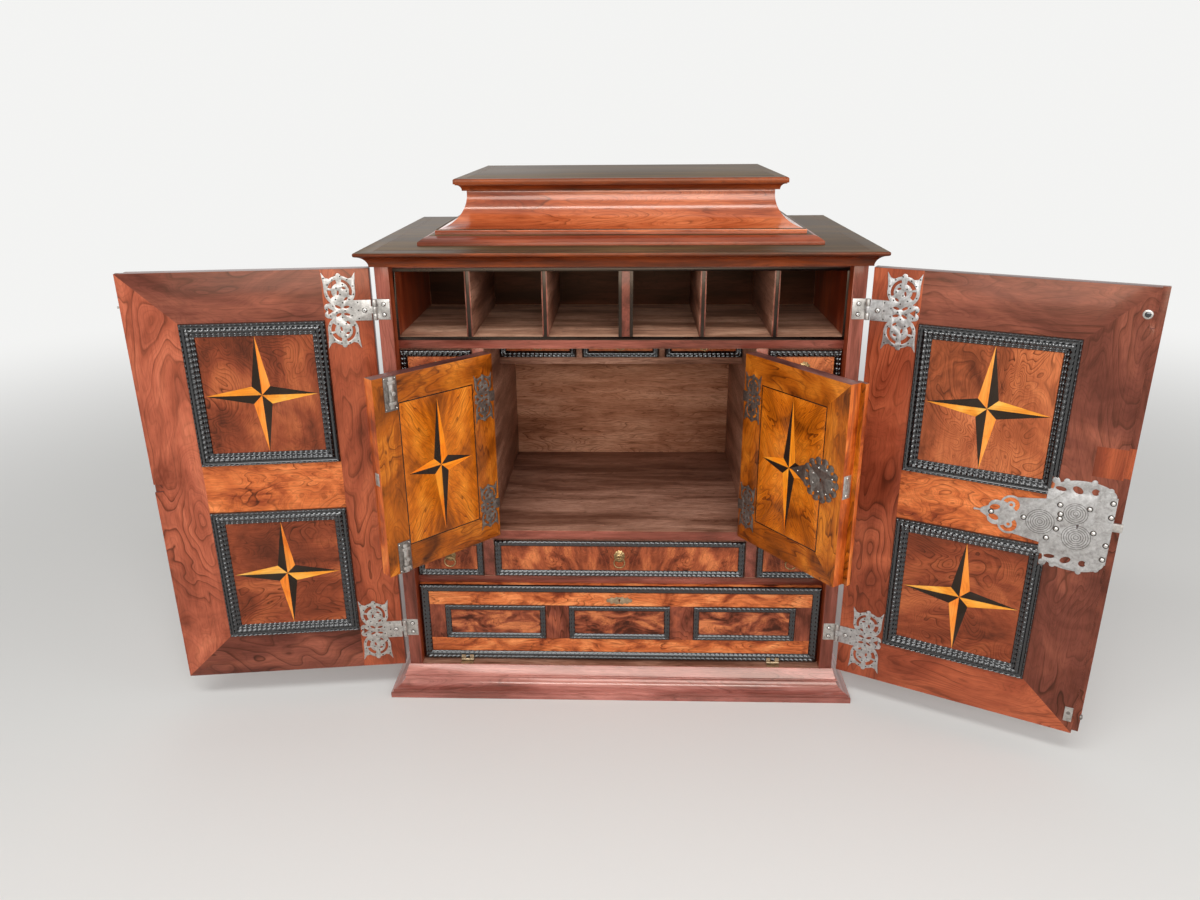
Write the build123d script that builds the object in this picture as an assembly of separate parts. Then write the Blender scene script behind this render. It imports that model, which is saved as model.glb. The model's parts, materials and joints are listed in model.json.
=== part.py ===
"""Two-door table cabinet of walnut with a coved top, pigeonholes, drawers and a fall flap.

Millimetres, +Z up.  The origin is the centre of the plinth's underside, -Y is the front.
Depths are measured from the front faces of the two carcass sides: 0 there, positive
inwards, negative in front.  Doors, flap, drawers and bolts are built closed, then the
doors are turned about their own hinge pins to the angles at which they stand open.
"""
from build123d import *
from math import cos, sin, radians
import os

# ------------------------------------------------------------------ driving sizes
carcass_width = 890.0
carcass_depth = 570.0
side_thickness = 26.0
back_thickness = 12.0
interior_setback = 30.0       # rails and drawer fronts behind the sides' front faces

plinth_height = 61.0
plinth_overhang = 37.0
plinth_board_thickness = 20.0
bearer_width = 44.0           # rail under the middle of the carcass, front to back

cornice_height = 27.0
cornice_overhang = 29.0
cornice_soffit = 7.5

top_base_setback = 67.0       # first moulding of the coved top, from the carcass sides
top_base_height = 21.0
cove_foot_setback = 96.0
cove_head_setback = 151.0
cove_height = 72.0
cove_wall = 24.0              # thickness of the coved facings at their narrowest
cap_setback = 129.0
cap_height = 23.0

# levels of the interior, heights above the floor
bottom_board_thickness = 18.0
flap_rail_bottom = 241.0
flap_rail_height = 16.0
lower_drawer_height = 84.0
shelf_thickness = 20.0
cupboard_height = 380.0
pigeonhole_floor_thickness = 23.0
pigeonhole_height = 123.0
ceiling_thickness = 14.0

partition_thickness = 22.0
cupboard_half_width = 258.0
cupboard_depth = 457.0        # from the rails' front to the cupboard's back
pigeonhole_depth = 304.0
inner_back_thickness = 10.0
divider_thickness = 11.0
centre_stile_width = 27.0
centre_stile_offset = 12.0    # the pigeonholes' centre stile stands right of the middle
edging_width = 6.0
edging_rise = 1.5

column_drawer_rows = 4
column_rail_height = 12.0

top_drawer_setback = 210.0    # small upper drawers, behind the rails' front
top_drawer_opening_height = 72.0
top_drawer_shelf_thickness = 14.0
top_drawer_divider = 12.0
top_drawer_count = 3

# drawers
drawer_gap = 0.8
drawer_front_thickness = 18.0
drawer_side_thickness = 10.0
drawer_bottom_thickness = 7.0
drawer_back_clearance = 18.0
drawer_top_gap = 2.0
drawer_side_drop = 6.0        # sides stand lower than the front

# ripple mouldings: width and rise of each kind
door_moulding = (26.0, 7.0)
flap_moulding = (18.0, 7.0)
panel_moulding = (13.0, 5.0)
drawer_moulding = (14.0, 6.0)

# outer doors
door_gap = 2.0                # inner faces in front of the carcass sides
outer_door_thickness = 23.0
door_end_gap = 2.5            # above the plinth and below the cornice
door_hinge_edge_gap = 5.5     # hinge edge, inside the pin's axis
door_meeting_gap = 1.0
lip_width = 11.0
lip_thickness = 11.0
lip_clearance = 1.0
left_outer_angle = 172.7
right_outer_angle = 152.9
outer_frame_margin = 86.0     # from the hinge edge to the moulded frames
outer_frame_width = 262.0
upper_frame_bottom = 528.0
lower_frame_bottom = 153.0
outer_frame_height = 278.0
outer_star = (103.0, 114.0, 17.0)   # half width, half height, shoulder
inlay_depth = 1.2

outer_knuckle_radius = 4.5
outer_pin_radius = 2.2
outer_pin_offset = 4.0        # pin axis outside the carcass side
outer_pin_depth = -3.0
pin_clearance = 0.06
knuckle_end_gap = 0.4
plate_thickness = 1.5
outer_hinge_heights = (149.0, 822.5)
outer_strap_height = 38.0
lobe_radius = 28.0
lobe_offset = 36.0
outer_plate_centre = 54.5     # from the door's hinge edge
leaf_length = 23.0

# inner doors
inner_door_thickness = 24.0
inner_door_side_gap = 2.0
inner_door_bottom_gap = 1.5
inner_door_top_gap = 3.0
inner_meeting_gap = 1.5
left_inner_angle = 134.1
right_inner_angle = 125.2
inner_knuckle_radius = 3.5
inner_pin_radius = 1.6
inner_pin_stand = 3.8         # pin axis in front of the rails
inner_hinge_offsets = (72.0, 294.0)  # above the door's lower edge
inner_strap_height = 20.0
inner_lobe_radius = 19.0
inner_lobe_offset = 24.0
inner_plate_centre = 24.0
inner_star = (70.0, 131.0, 15.0)
stringing_width = 2.2
stringing_margins = (47.0, 50.0)    # from the side and the end edges
astragal_width = 21.0
astragal_thickness = 8.0
astragal_overlap = 9.0

# fall flap
flap_thickness = 20.0
flap_setback = 22.0
flap_side_gap = 2.0
flap_bottom_gap = 1.5
flap_top_gap = 1.0
flap_panel_width = 213.0
flap_panel_height = 80.0
flap_panel_pitch = 261.0
flap_panel_bottom = 112.0
flap_hinge_spacing = 648.0
flap_knuckle_radius = 3.0
flap_pin_radius = 1.2
flap_pin_height = 4.0         # pin axis above the plinth
flap_hinge_width = 26.0

# ring pulls
ring_radius = 11.0
ring_wire = 1.4
ring_axis_stand = 8.0
ring_boss_radius = 4.0
ring_boss_width = 5.0
ring_eye_radius = 2.0
pull_plate_radius = 11.0
pull_plate_thickness = 2.0
ring_drop = 5.0               # the eye stands above the drawer front's middle

# locks and bolts
outer_bolt = (60.0, 15.0, 5.0)       # length, height, thickness
outer_bolt_throw = 14.0
outer_bolt_height = 487.0
outer_lock_centre = (389.0, 478.0)   # from the hinge edge, above the floor
outer_lock_body = (55.0, 63.0)       # half width and half height
outer_lock_crest = (49.0, 22.0)      # half width and rise of the crests
outer_lock_tail = 170.0              # from the centre to the finial's tip
outer_lock_neck = 40.0               # half height of the tail beside the body
inner_bolt = (45.0, 14.0, 4.0)
inner_bolt_throw = 9.0
inner_lock_radius = 42.0
inner_lock_lobes = 14
lock_edge_plate = (43.0, 18.0, 1.0)  # height, width, thickness
door_escutcheon = (9.0, 19.0)        # half width and half height on the doors' fronts
inner_lock_centre = (206.0, 553.0)
inner_lock_tail = 30.0
slide_clearance = 0.4
face_bolt_length = 58.0
face_bolt_width = 9.0
face_bolt_thickness = 3.0
face_bolt_throw = 10.0
face_bolt_plate = (26.0, 62.0)
face_bolt_from_edge = 34.0
edge_bolt_length = 120.0
edge_bolt_width = 7.0
edge_bolt_thickness = 4.0
edge_bolt_throw = 10.0
edge_bolt_cover = 0.8         # wood left between the edge bolt and the inner face
edge_bolt_knob = 2.0
flap_bolt = (20.0, 34.0, 5.0)        # width, length, thickness
flap_bolt_throw = 8.0
flap_lock_case = (62.0, 48.0, 12.0)
escutcheon = (27.0, 9.0)             # half length, half height
escutcheon_height = 205.0

# ------------------------------------------------------------------ derived places
half_width = carcass_width / 2
front_y = -(carcass_depth - plinth_overhang) / 2
inside_half = half_width - side_thickness
back_inner = carcass_depth - back_thickness

flap_rail_top = flap_rail_bottom + flap_rail_height
shelf_bottom = flap_rail_top + lower_drawer_height
shelf_top = shelf_bottom + shelf_thickness
cupboard_top = shelf_top + cupboard_height
pigeonhole_floor = cupboard_top + pigeonhole_floor_thickness
pigeonhole_top = pigeonhole_floor + pigeonhole_height
carcass_top = pigeonhole_top + ceiling_thickness
cornice_top = carcass_top + cornice_height
cupboard_back = interior_setback + cupboard_depth
column_inner = cupboard_half_width + partition_thickness

nodes = {}


def add(name, *shapes):
    """Keep solids under a node's name."""
    nodes.setdefault(name, []).extend(shapes)


def board(x0, x1, d0, d1, z0, z1):
    """A square-edged board between two corners; d0 and d1 are depths."""
    box = Box(x1 - x0, d1 - d0, z1 - z0, align=(Align.MIN, Align.MIN, Align.MIN))
    return Pos(x0, front_y + d0, z0) * box


def prism_xz(sketch, d0, d1):
    """A flat outline drawn in x and z, made solid from depth d0 to depth d1."""
    plane = Plane(origin=(0, front_y + d1, 0), x_dir=(1, 0, 0), z_dir=(0, -1, 0))
    return extrude(plane * sketch, amount=d1 - d0, dir=(0, -1, 0))


def prism_xy(points, z0, z1):
    """A plan outline, given by x and depth, made solid from z0 to z1."""
    outline = Polygon(*[(x, front_y + d) for x, d in points], align=None)
    return extrude(Pos(0, 0, z0) * outline, amount=z1 - z0, dir=(0, 0, 1))


def rod(radius, centre, axis, length):
    """A round rod that starts at centre (x, depth, z) and runs along axis."""
    x, d, z = centre
    plane = Plane(origin=(x, front_y + d, z), z_dir=axis)
    return extrude(plane * Circle(radius), amount=length, dir=axis)


def swing(shapes, pin, angle):
    """Turn shapes about a vertical pin at pin (x, depth)."""
    place = Pos(pin[0], front_y + pin[1], 0)
    return [place * Rot(0, 0, angle) * place.inverse() * shape for shape in shapes]


# ------------------------------------------------------------------ mouldings
def surround(profile, side, front, back):
    """Three strips, mitred at the front corners, round a block of half width `side`.

    The profile is a face drawn with x outwards from the block and y as height.
    """
    reach = profile.bounding_box().max.X
    z0 = profile.bounding_box().min.Y
    z1 = profile.bounding_box().max.Y
    over = side + reach
    along_x = Plane(origin=(-over, front_y + front, 0), x_dir=(0, -1, 0), z_dir=(-1, 0, 0))
    front_bar = extrude(along_x * profile, amount=2 * over, dir=(1, 0, 0))
    mitres = [(-side, front), (side, front), (over, front - reach), (-over, front - reach)]
    front_strip = front_bar & prism_xy(mitres, z0, z1)
    along_y = Plane(origin=(side, front_y + back, 0), x_dir=(1, 0, 0), z_dir=(0, -1, 0))
    side_bar = extrude(along_y * profile, amount=back - front + reach, dir=(0, -1, 0))
    plan = [(side, front), (over, front - reach), (over, back), (side, back)]
    right_strip = side_bar & prism_xy(plan, z0, z1)
    return [front_strip, right_strip, right_strip.mirror(Plane.YZ)]


def ripple_profile(width, rise):
    """Section of a ripple moulding: outer bead, hollow, small inner bead."""
    bead = 0.34 * width
    inner = 0.22 * width
    quirk = 0.18 * rise
    low = 0.62 * rise
    outer_edge = Line((0, 0), (0, 2 * quirk))
    outer_round = ThreePointArc((0, 2 * quirk), (0.25 * bead, rise - quirk), (0.75 * bead, rise))
    top = Line((0.75 * bead, rise), (bead, rise))
    drop = Line((bead, rise), (bead, rise - quirk))
    sag = (0.5 * (bead + width - inner), 0.36 * rise)
    hollow = ThreePointArc((bead, rise - quirk), sag, (width - inner, low - quirk))
    lift = Line((width - inner, low - quirk), (width - inner, low))
    inner_round = ThreePointArc((width - inner, low), (width - 0.3 * inner, low - 0.8 * quirk),
                                (width, quirk))
    foot = Line((width, quirk), (width, 0))
    base = Line((width, 0), (0, 0))
    return make_face([outer_edge, outer_round, top, drop, hollow, lift, inner_round, foot, base])


def moulded_frame(x0, x1, z0, z1, face, outwards, size):
    """Four mitred ripple strips lying on a face; outwards is -1 or +1 in depth."""
    width, rise = size
    section = ripple_profile(width, rise)
    d0, d1 = sorted((face, face + outwards * rise))
    strips = []
    sill = Plane(origin=(x0, front_y + face, z0), x_dir=(0, 0, 1), z_dir=(-outwards, 0, 0))
    bar = extrude(sill * section, amount=x1 - x0, dir=(1, 0, 0))
    shape = Polygon((x0, z0), (x1, z0), (x1 - width, z0 + width), (x0 + width, z0 + width), align=None)
    lower = bar & prism_xz(shape, d0, d1)
    strips += [lower, lower.mirror(Plane.XY.offset((z0 + z1) / 2))]
    post = Plane(origin=(x0, front_y + face, z0), x_dir=(1, 0, 0), z_dir=(0, 0, outwards))
    bar = extrude(post * section, amount=z1 - z0, dir=(0, 0, 1))
    shape = Polygon((x0, z0), (x0 + width, z0 + width), (x0 + width, z1 - width), (x0, z1), align=None)
    left = bar & prism_xz(shape, d0, d1)
    strips += [left, left.mirror(Plane.YZ.offset((x0 + x1) / 2))]
    return strips


# ------------------------------------------------------------------ plinth
def plinth_profile():
    """Upright fascia, bead, cove and square foot."""
    fascia_foot = 8.0
    bead = 4.0
    foot_height = 12.0
    fillet = 4.0
    cove_top = 36.0
    cove_out = plinth_overhang - fillet
    cove_low = foot_height + fillet
    lines = [
        Line((0, 0), (plinth_overhang, 0)),
        Line((plinth_overhang, 0), (plinth_overhang, foot_height)),
        Line((plinth_overhang, foot_height), (cove_out, foot_height)),
        Line((cove_out, foot_height), (cove_out, cove_low)),
        ThreePointArc((cove_out, cove_low), (17.5, 23.0), (fascia_foot + 1, cove_top)),
        ThreePointArc((fascia_foot + 1, cove_top), (fascia_foot + bead, cove_top + 2),
                      (fascia_foot + 1, cove_top + bead)),
        Line((fascia_foot + 1, cove_top + bead), (2.0, plinth_height)),
        Line((2.0, plinth_height), (0, plinth_height)),
        Line((0, plinth_height), (0, 0)),
    ]
    return make_face(lines)


edge_bolt_d0 = -door_gap - edge_bolt_cover - edge_bolt_thickness
edge_bolt_d1 = -door_gap - edge_bolt_cover
edge_bolt_x1 = -door_meeting_gap / 2 - 0.6
edge_bolt_x0 = edge_bolt_x1 - edge_bolt_width


def edge_bolt_hole(z0, z1):
    """Clearance hole that an edge bolt of the left outer door slides into."""
    c = slide_clearance
    return board(edge_bolt_x0 - c, edge_bolt_x1 + c, edge_bolt_d0 - c, edge_bolt_d1 + c, z0, z1)


def make_plinth():
    strips = surround(plinth_profile(), half_width, 0, carcass_depth)
    add("plinth_moulding", *strips)
    board_bottom = plinth_height - plinth_board_thickness
    deck = board(-half_width, half_width, 0, carcass_depth, board_bottom, plinth_height)
    rail_front = carcass_depth - side_thickness
    rail = board(-half_width, half_width, rail_front, carcass_depth, 0, board_bottom)
    bearer = board(-bearer_width / 2, bearer_width / 2, 0, rail_front, 0, board_bottom)
    add("carcass_bottom", deck, rail, bearer)


# ------------------------------------------------------------------ carcass
def leaf_plate(side, z, height):
    """Fixed outer hinge leaf, let flush into the front edge of a carcass side."""
    x1 = side * (half_width + outer_pin_offset)
    x0 = side * (half_width - leaf_length)
    low, high = sorted((x0, x1))
    return board(low, high, 0, plate_thickness, z - height / 2, z + height / 2)


def make_carcass():
    for side in (-1, 1):
        x0, x1 = sorted((side * half_width, side * inside_half))
        panel = board(x0, x1, 0, carcass_depth, plinth_height, carcass_top)
        for z in outer_hinge_heights:
            panel = panel - leaf_plate(side, z, outer_strap_height)
        rebate_x0, rebate_x1 = sorted((side * inside_half, side * (inside_half + back_thickness)))
        panel = panel - board(rebate_x0, rebate_x1, back_inner, carcass_depth, plinth_height, carcass_top)
        add("carcass_sides", panel)
    back_half = inside_half + back_thickness
    add("carcass_back", board(-back_half, back_half, back_inner, carcass_depth, plinth_height, carcass_top))
    add("carcass_top", board(-half_width, half_width, 0, carcass_depth, carcass_top, cornice_top))
    bottom_front = flap_setback + flap_thickness + 1
    add("carcass_bottom", board(-inside_half, inside_half, bottom_front, back_inner,
                                plinth_height, plinth_height + bottom_board_thickness))


def cornice_profile():
    """Soffit, fillet, ovolo and top band."""
    z0 = carcass_top
    band = 6.0
    fillet = 3.0
    lines = [
        Line((0, z0), (cornice_soffit, z0)),
        Line((cornice_soffit, z0), (cornice_soffit, z0 + fillet)),
        ThreePointArc((cornice_soffit, z0 + fillet), (13.0, z0 + 13.5),
                      (cornice_overhang - fillet, cornice_top - band - 1)),
        Line((cornice_overhang - fillet, cornice_top - band - 1),
             (cornice_overhang - 1, cornice_top - band)),
        ThreePointArc((cornice_overhang - 1, cornice_top - band), (cornice_overhang, cornice_top - band / 2),
                      (cornice_overhang - 1, cornice_top)),
        Line((cornice_overhang - 1, cornice_top), (0, cornice_top)),
        Line((0, cornice_top), (0, z0)),
    ]
    return make_face(lines)


def make_cornice():
    strips = surround(cornice_profile(), half_width, 0, carcass_depth)
    strips[0] = strips[0] - edge_bolt_hole(carcass_top - 1, carcass_top + edge_bolt_throw + 4)
    add("cornice_moulding", *strips)


# ------------------------------------------------------------------ coved top
def make_coved_top():
    base_half = half_width - top_base_setback
    foot_half = half_width - cove_foot_setback
    head_half = half_width - cove_head_setback
    core_half = head_half - cove_wall
    core_front = cove_head_setback + cove_wall
    z0 = cornice_top
    z1 = z0 + top_base_height
    z2 = z1 + cove_height
    z3 = z2 + cap_height

    step = base_half - foot_half
    reach = base_half - core_half
    lines = [
        Line((0, z0), (reach, z0)),
        Line((reach, z0), (reach, z0 + 6)),
        ThreePointArc((reach, z0 + 6), (reach - 0.35 * step, z0 + 13), (reach - step + 6, z1 - 4)),
        Line((reach - step + 6, z1 - 4), (reach - step, z1 - 4)),
        Line((reach - step, z1 - 4), (reach - step, z1)),
        Line((reach - step, z1), (0, z1)),
        Line((0, z1), (0, z0)),
    ]
    add("top_base_moulding", *surround(make_face(lines), core_half, core_front, carcass_depth))

    foot = foot_half - core_half
    head = head_half - core_half
    sag = (head + 0.26 * (foot - head), z1 + 0.36 * cove_height)
    fillet = 4.0
    lines = [
        Line((0, z1), (foot, z1)),
        Line((foot, z1), (foot, z1 + fillet)),
        ThreePointArc((foot, z1 + fillet), sag, (head, z2 - fillet)),
        Line((head, z2 - fillet), (head, z2)),
        Line((head, z2), (0, z2)),
        Line((0, z2), (0, z1)),
    ]
    add("cove_facings", *surround(make_face(lines), core_half, core_front, carcass_depth))
    add("top_core", board(-core_half, core_half, core_front, carcass_depth, z0, z2))

    cap_half = half_width - cap_setback
    lip = cap_half - head_half
    lines = [
        Line((0, z2), (lip - 14, z2)),
        ThreePointArc((lip - 14, z2), (lip - 11, z2 + 8), (lip - 3, z2 + 11)),
        Line((lip - 3, z2 + 11), (lip - 3, z2 + 13)),
        Line((lip - 3, z2 + 13), (lip, z2 + 13)),
        Line((lip, z2 + 13), (lip, z3 - 3)),
        ThreePointArc((lip, z3 - 3), (lip - 1.5, z3 - 0.8), (lip - 5, z3)),
        Line((lip - 5, z3), (0, z3)),
        Line((0, z3), (0, z2)),
    ]
    add("cap_moulding", *surround(make_face(lines), head_half, cove_head_setback, carcass_depth))
    add("top_core", board(-head_half, head_half, cove_head_setback, carcass_depth, z2, z3))


# ------------------------------------------------------------------ interior
pigeon_front = interior_setback
edging_front = interior_setback - edging_rise


def divider_places():
    """Left and right faces of every upright between the pigeonholes."""
    stile0 = centre_stile_offset - centre_stile_width / 2
    stile1 = centre_stile_offset + centre_stile_width / 2
    places = [(stile0, stile1)]
    for low, high in ((-inside_half, stile0), (stile1, inside_half)):
        clear = (high - low - 2 * divider_thickness) / 3
        for k in (1, 2):
            x = low + k * clear + (k - 1) * divider_thickness
            places.append((x, x + divider_thickness))
    return sorted(places)


def face_bolt_x():
    """Middle of the two sliding bolts on the closed left inner door."""
    return -inner_meeting_gap / 2 - face_bolt_from_edge


def make_interior():
    c = slide_clearance
    f = interior_setback
    ceiling = board(-inside_half, inside_half, f, back_inner, pigeonhole_top, carcass_top)
    floor = board(-inside_half, inside_half, f, back_inner, cupboard_top, pigeonhole_floor)
    shelf = board(-inside_half, inside_half, f, back_inner, shelf_bottom, shelf_top)
    rail = board(-inside_half, inside_half, f, back_inner, flap_rail_bottom, flap_rail_top)
    bolt_half = face_bolt_width / 2 + c
    d0 = f + inner_door_thickness + plate_thickness - c
    d1 = d0 + face_bolt_thickness + 2 * c
    x = face_bolt_x()
    depth = face_bolt_throw + 3
    floor = floor - board(x - bolt_half, x + bolt_half, d0, d1, cupboard_top - 1, cupboard_top + depth)
    shelf = shelf - board(x - bolt_half, x + bolt_half, d0, d1, shelf_top - depth, shelf_top + 1)
    half = flap_bolt[0] / 2 + c
    d0 = flap_setback + flap_thickness + 2 - c
    mortise = board(-half, half, d0, d0 + flap_bolt[2] + 2 * c, flap_rail_bottom - 1,
                    flap_rail_bottom + flap_bolt_throw + 2)
    rail = rail - mortise
    add("interior_shelves", ceiling, floor, shelf, rail)

    for side in (-1, 1):
        x0, x1 = sorted((side * cupboard_half_width, side * column_inner))
        add("partition_walls", board(x0, x1, f, back_inner, flap_rail_top, shelf_bottom))
        add("partition_walls", board(x0, x1, f, back_inner, shelf_top, cupboard_top))

    pigeon_back = f + pigeonhole_depth
    add("interior_backs", board(-inside_half, inside_half, pigeon_back, pigeon_back + inner_back_thickness,
                                 pigeonhole_floor, pigeonhole_top))
    for x0, x1 in divider_places():
        add("pigeonhole_dividers", board(x0, x1, f, pigeon_back, pigeonhole_floor, pigeonhole_top))
    add("interior_backs", board(-cupboard_half_width, cupboard_half_width, cupboard_back,
                                cupboard_back + inner_back_thickness, shelf_top, cupboard_top))

    shelf_z = cupboard_top - top_drawer_opening_height - top_drawer_shelf_thickness
    d0 = f + top_drawer_setback
    add("drawer_dividers", board(-cupboard_half_width, cupboard_half_width, d0, cupboard_back,
                                    shelf_z, shelf_z + top_drawer_shelf_thickness))
    for x0, x1 in top_drawer_openings()[:-1]:
        add("drawer_dividers", board(x1, x1 + top_drawer_divider, d0, cupboard_back,
                                        shelf_z + top_drawer_shelf_thickness, cupboard_top))
    opening = column_opening_height()
    for side in (-1, 1):
        x0, x1 = sorted((side * column_inner, side * inside_half))
        for k in range(1, column_drawer_rows):
            z = shelf_top + k * opening + (k - 1) * column_rail_height
            add("drawer_dividers", board(x0, x1, f, back_inner, z, z + column_rail_height))


def make_edging():
    """Dark strips round the pigeonholes' front openings."""
    uprights = divider_places()
    e = edging_width
    low, high = pigeonhole_floor - e, pigeonhole_top
    d0, d1 = edging_front, interior_setback
    add("pigeonhole_edging", board(-inside_half, inside_half, d0, d1, low, low + e))
    add("pigeonhole_edging", board(-inside_half, inside_half, d0, d1, high, high + e))
    for x0, x1 in ((-inside_half, -inside_half + e - 2), (inside_half - e + 2, inside_half)):
        add("pigeonhole_edging", board(x0, x1, d0, d1, low + e, high))
    for x0, x1 in uprights:
        if x1 - x0 > divider_thickness + 1:
            add("pigeonhole_edging", board(x0, x0 + e, d0, d1, low + e, high))
            add("pigeonhole_edging", board(x1 - e, x1, d0, d1, low + e, high))
        else:
            mid = (x0 + x1) / 2
            add("pigeonhole_edging", board(mid - e / 2, mid + e / 2, d0, d1, low + e, high))


# ------------------------------------------------------------------ drawers and pulls
def column_opening_height():
    rails = (column_drawer_rows - 1) * column_rail_height
    return (cupboard_height - rails) / column_drawer_rows


def top_drawer_openings():
    """Left and right limits of the three small drawers under the pigeonholes."""
    dividers = (top_drawer_count - 1) * top_drawer_divider
    clear = (2 * cupboard_half_width - dividers) / top_drawer_count
    starts = [-cupboard_half_width + k * (clear + top_drawer_divider) for k in range(top_drawer_count)]
    return [(x, x + clear) for x in starts]


def drawer_boards(x0, x1, z0, z1, face, length):
    """Front, two sides, back and bottom of a drawer that fills an opening with its gaps."""
    g = drawer_gap
    x0, x1 = x0 + g, x1 - g
    z0, z1 = z0 + g / 2, z1 - drawer_top_gap
    behind = face + drawer_front_thickness
    end = face + length
    side_top = z1 - drawer_side_drop
    t = drawer_side_thickness
    low = z0 + drawer_bottom_thickness
    front = board(x0, x1, face, behind, z0, z1)
    left = board(x0, x0 + t, behind, end, low, side_top)
    right = board(x1 - t, x1, behind, end, low, side_top)
    back = board(x0 + t, x1 - t, end - t, end, low, side_top)
    bottom = board(x0, x1, behind, end, z0, low)
    return [front, left, right, back, bottom]


def drawer_frame(x0, x1, z0, z1, face):
    g = drawer_gap
    return moulded_frame(x0 + g, x1 - g, z0 + g / 2, z1 - drawer_top_gap, face, -1, drawer_moulding)


def pull_plate(x, z, face):
    """Round mask plate with the pierced boss that carries the ring."""
    plate = rod(pull_plate_radius, (x, face - pull_plate_thickness, z), (0, 1, 0), pull_plate_thickness)
    boss = rod(ring_boss_radius, (x - ring_boss_width / 2, face - ring_axis_stand, z), (1, 0, 0),
               ring_boss_width)
    neck = board(x - ring_boss_width / 2, x + ring_boss_width / 2, face - ring_axis_stand, face,
                 z - ring_boss_radius / 2, z + ring_boss_radius / 2)
    eye = rod(ring_eye_radius, (x - ring_boss_width, face - ring_axis_stand, z), (1, 0, 0),
              2 * ring_boss_width)
    return plate + boss + neck - eye


def pull_ring(x, z, face):
    """Ring hanging from the eye at height z."""
    place = Pos(x, front_y + face - ring_axis_stand, z - ring_radius)
    return place * Rot(90, 0, 0) * Torus(ring_radius, ring_wire)


def pull_height(z0, z1):
    return (z0 + z1 - drawer_top_gap) / 2 + ring_drop


def make_drawers():
    f = interior_setback
    lower_length = back_inner - drawer_back_clearance - f
    outer = (column_inner, inside_half)
    lower = {
        "lower_left": (-outer[1], -outer[0]),
        "lower_centre": (-cupboard_half_width, cupboard_half_width),
        "lower_right": outer,
    }
    for name, (x0, x1) in lower.items():
        add(name + "_drawer", *drawer_boards(x0, x1, flap_rail_top, shelf_bottom, f, lower_length))
        add(name + "_drawer", *drawer_frame(x0, x1, flap_rail_top, shelf_bottom, f))
        z = pull_height(flap_rail_top, shelf_bottom)
        add(name + "_drawer", pull_plate((x0 + x1) / 2, z, f))
        add(name + "_ring", pull_ring((x0 + x1) / 2, z, f))

    face = f + top_drawer_setback
    z0 = cupboard_top - top_drawer_opening_height
    length = cupboard_back - face - drawer_gap
    names = ("upper_left", "upper_centre", "upper_right")
    for name, (x0, x1) in zip(names, top_drawer_openings()):
        add(name + "_drawer", *drawer_boards(x0, x1, z0, cupboard_top, face, length))
        add(name + "_drawer", *drawer_frame(x0, x1, z0, cupboard_top, face))
        z = pull_height(z0, cupboard_top)
        add(name + "_drawer", pull_plate((x0 + x1) / 2, z, face))
        add(name + "_ring", pull_ring((x0 + x1) / 2, z, face))

    opening = column_opening_height()
    for side in (-1, 1):
        x0, x1 = sorted((side * column_inner, side * inside_half))
        for k in range(column_drawer_rows):
            z0 = shelf_top + k * (opening + column_rail_height)
            z1 = z0 + opening
            row = "column_drawers_row_%d" % (k + 1)
            add(row, *drawer_boards(x0, x1, z0, z1, f, lower_length))
            add("column_drawer_mouldings", *drawer_frame(x0, x1, z0, z1, f))
            z = pull_height(z0, z1)
            add("column_drawer_pulls", pull_plate((x0 + x1) / 2, z, f))
            add("column_drawer_pulls", pull_ring((x0 + x1) / 2, z, f))


# ------------------------------------------------------------------ inlay
def star_points(cx, cz, size):
    """Tips and shoulders of a four-point compass star, clockwise from the top tip."""
    half_x, half_z, shoulder = size
    tips = [(0, half_z), (half_x, 0), (0, -half_z), (-half_x, 0)]
    shoulders = [(shoulder, shoulder), (shoulder, -shoulder), (-shoulder, -shoulder), (-shoulder, shoulder)]
    ring = []
    for tip, corner in zip(tips, shoulders):
        ring += [(cx + tip[0], cz + tip[1]), (cx + corner[0], cz + corner[1])]
    return ring


def star_outline(cx, cz, size, d0, d1):
    return prism_xz(Polygon(*star_points(cx, cz, size), align=None), d0, d1)


def star_wedges(cx, cz, size, d0, d1):
    """The eight veneer triangles of a star, light and dark in turn."""
    ring = star_points(cx, cz, size)
    wedges = []
    for k, start in enumerate(ring):
        end = ring[(k + 1) % len(ring)]
        wedges.append(prism_xz(Polygon((cx, cz), start, end, align=None), d0, d1))
    return wedges


# ------------------------------------------------------------------ pierced ironwork
def arc_slot(cx, cz, radius, width, start, span):
    """A crescent opening: a curved slot of even width round a centre."""
    r0, r1 = radius - width / 2, radius + width / 2
    a0, a1 = radians(start), radians(start + span)
    am = (a0 + a1) / 2

    def at(r, a):
        return (cx + r * cos(a), cz + r * sin(a))

    edges = [
        ThreePointArc(at(r1, a0), at(r1, am), at(r1, a1)),
        Line(at(r1, a1), at(r0, a1)),
        ThreePointArc(at(r0, a1), at(r0, am), at(r0, a0)),
        Line(at(r0, a0), at(r1, a0)),
    ]
    return make_face(edges)


def outline(*corners):
    """A face from its corners, always drawn counter-clockwise so that neighbours fuse with it."""
    following = corners[1:] + corners[:1]
    turn = sum(a[0] * b[1] - b[0] * a[1] for a, b in zip(corners, following))
    return Polygon(*(corners if turn > 0 else corners[::-1]), align=None)


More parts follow.
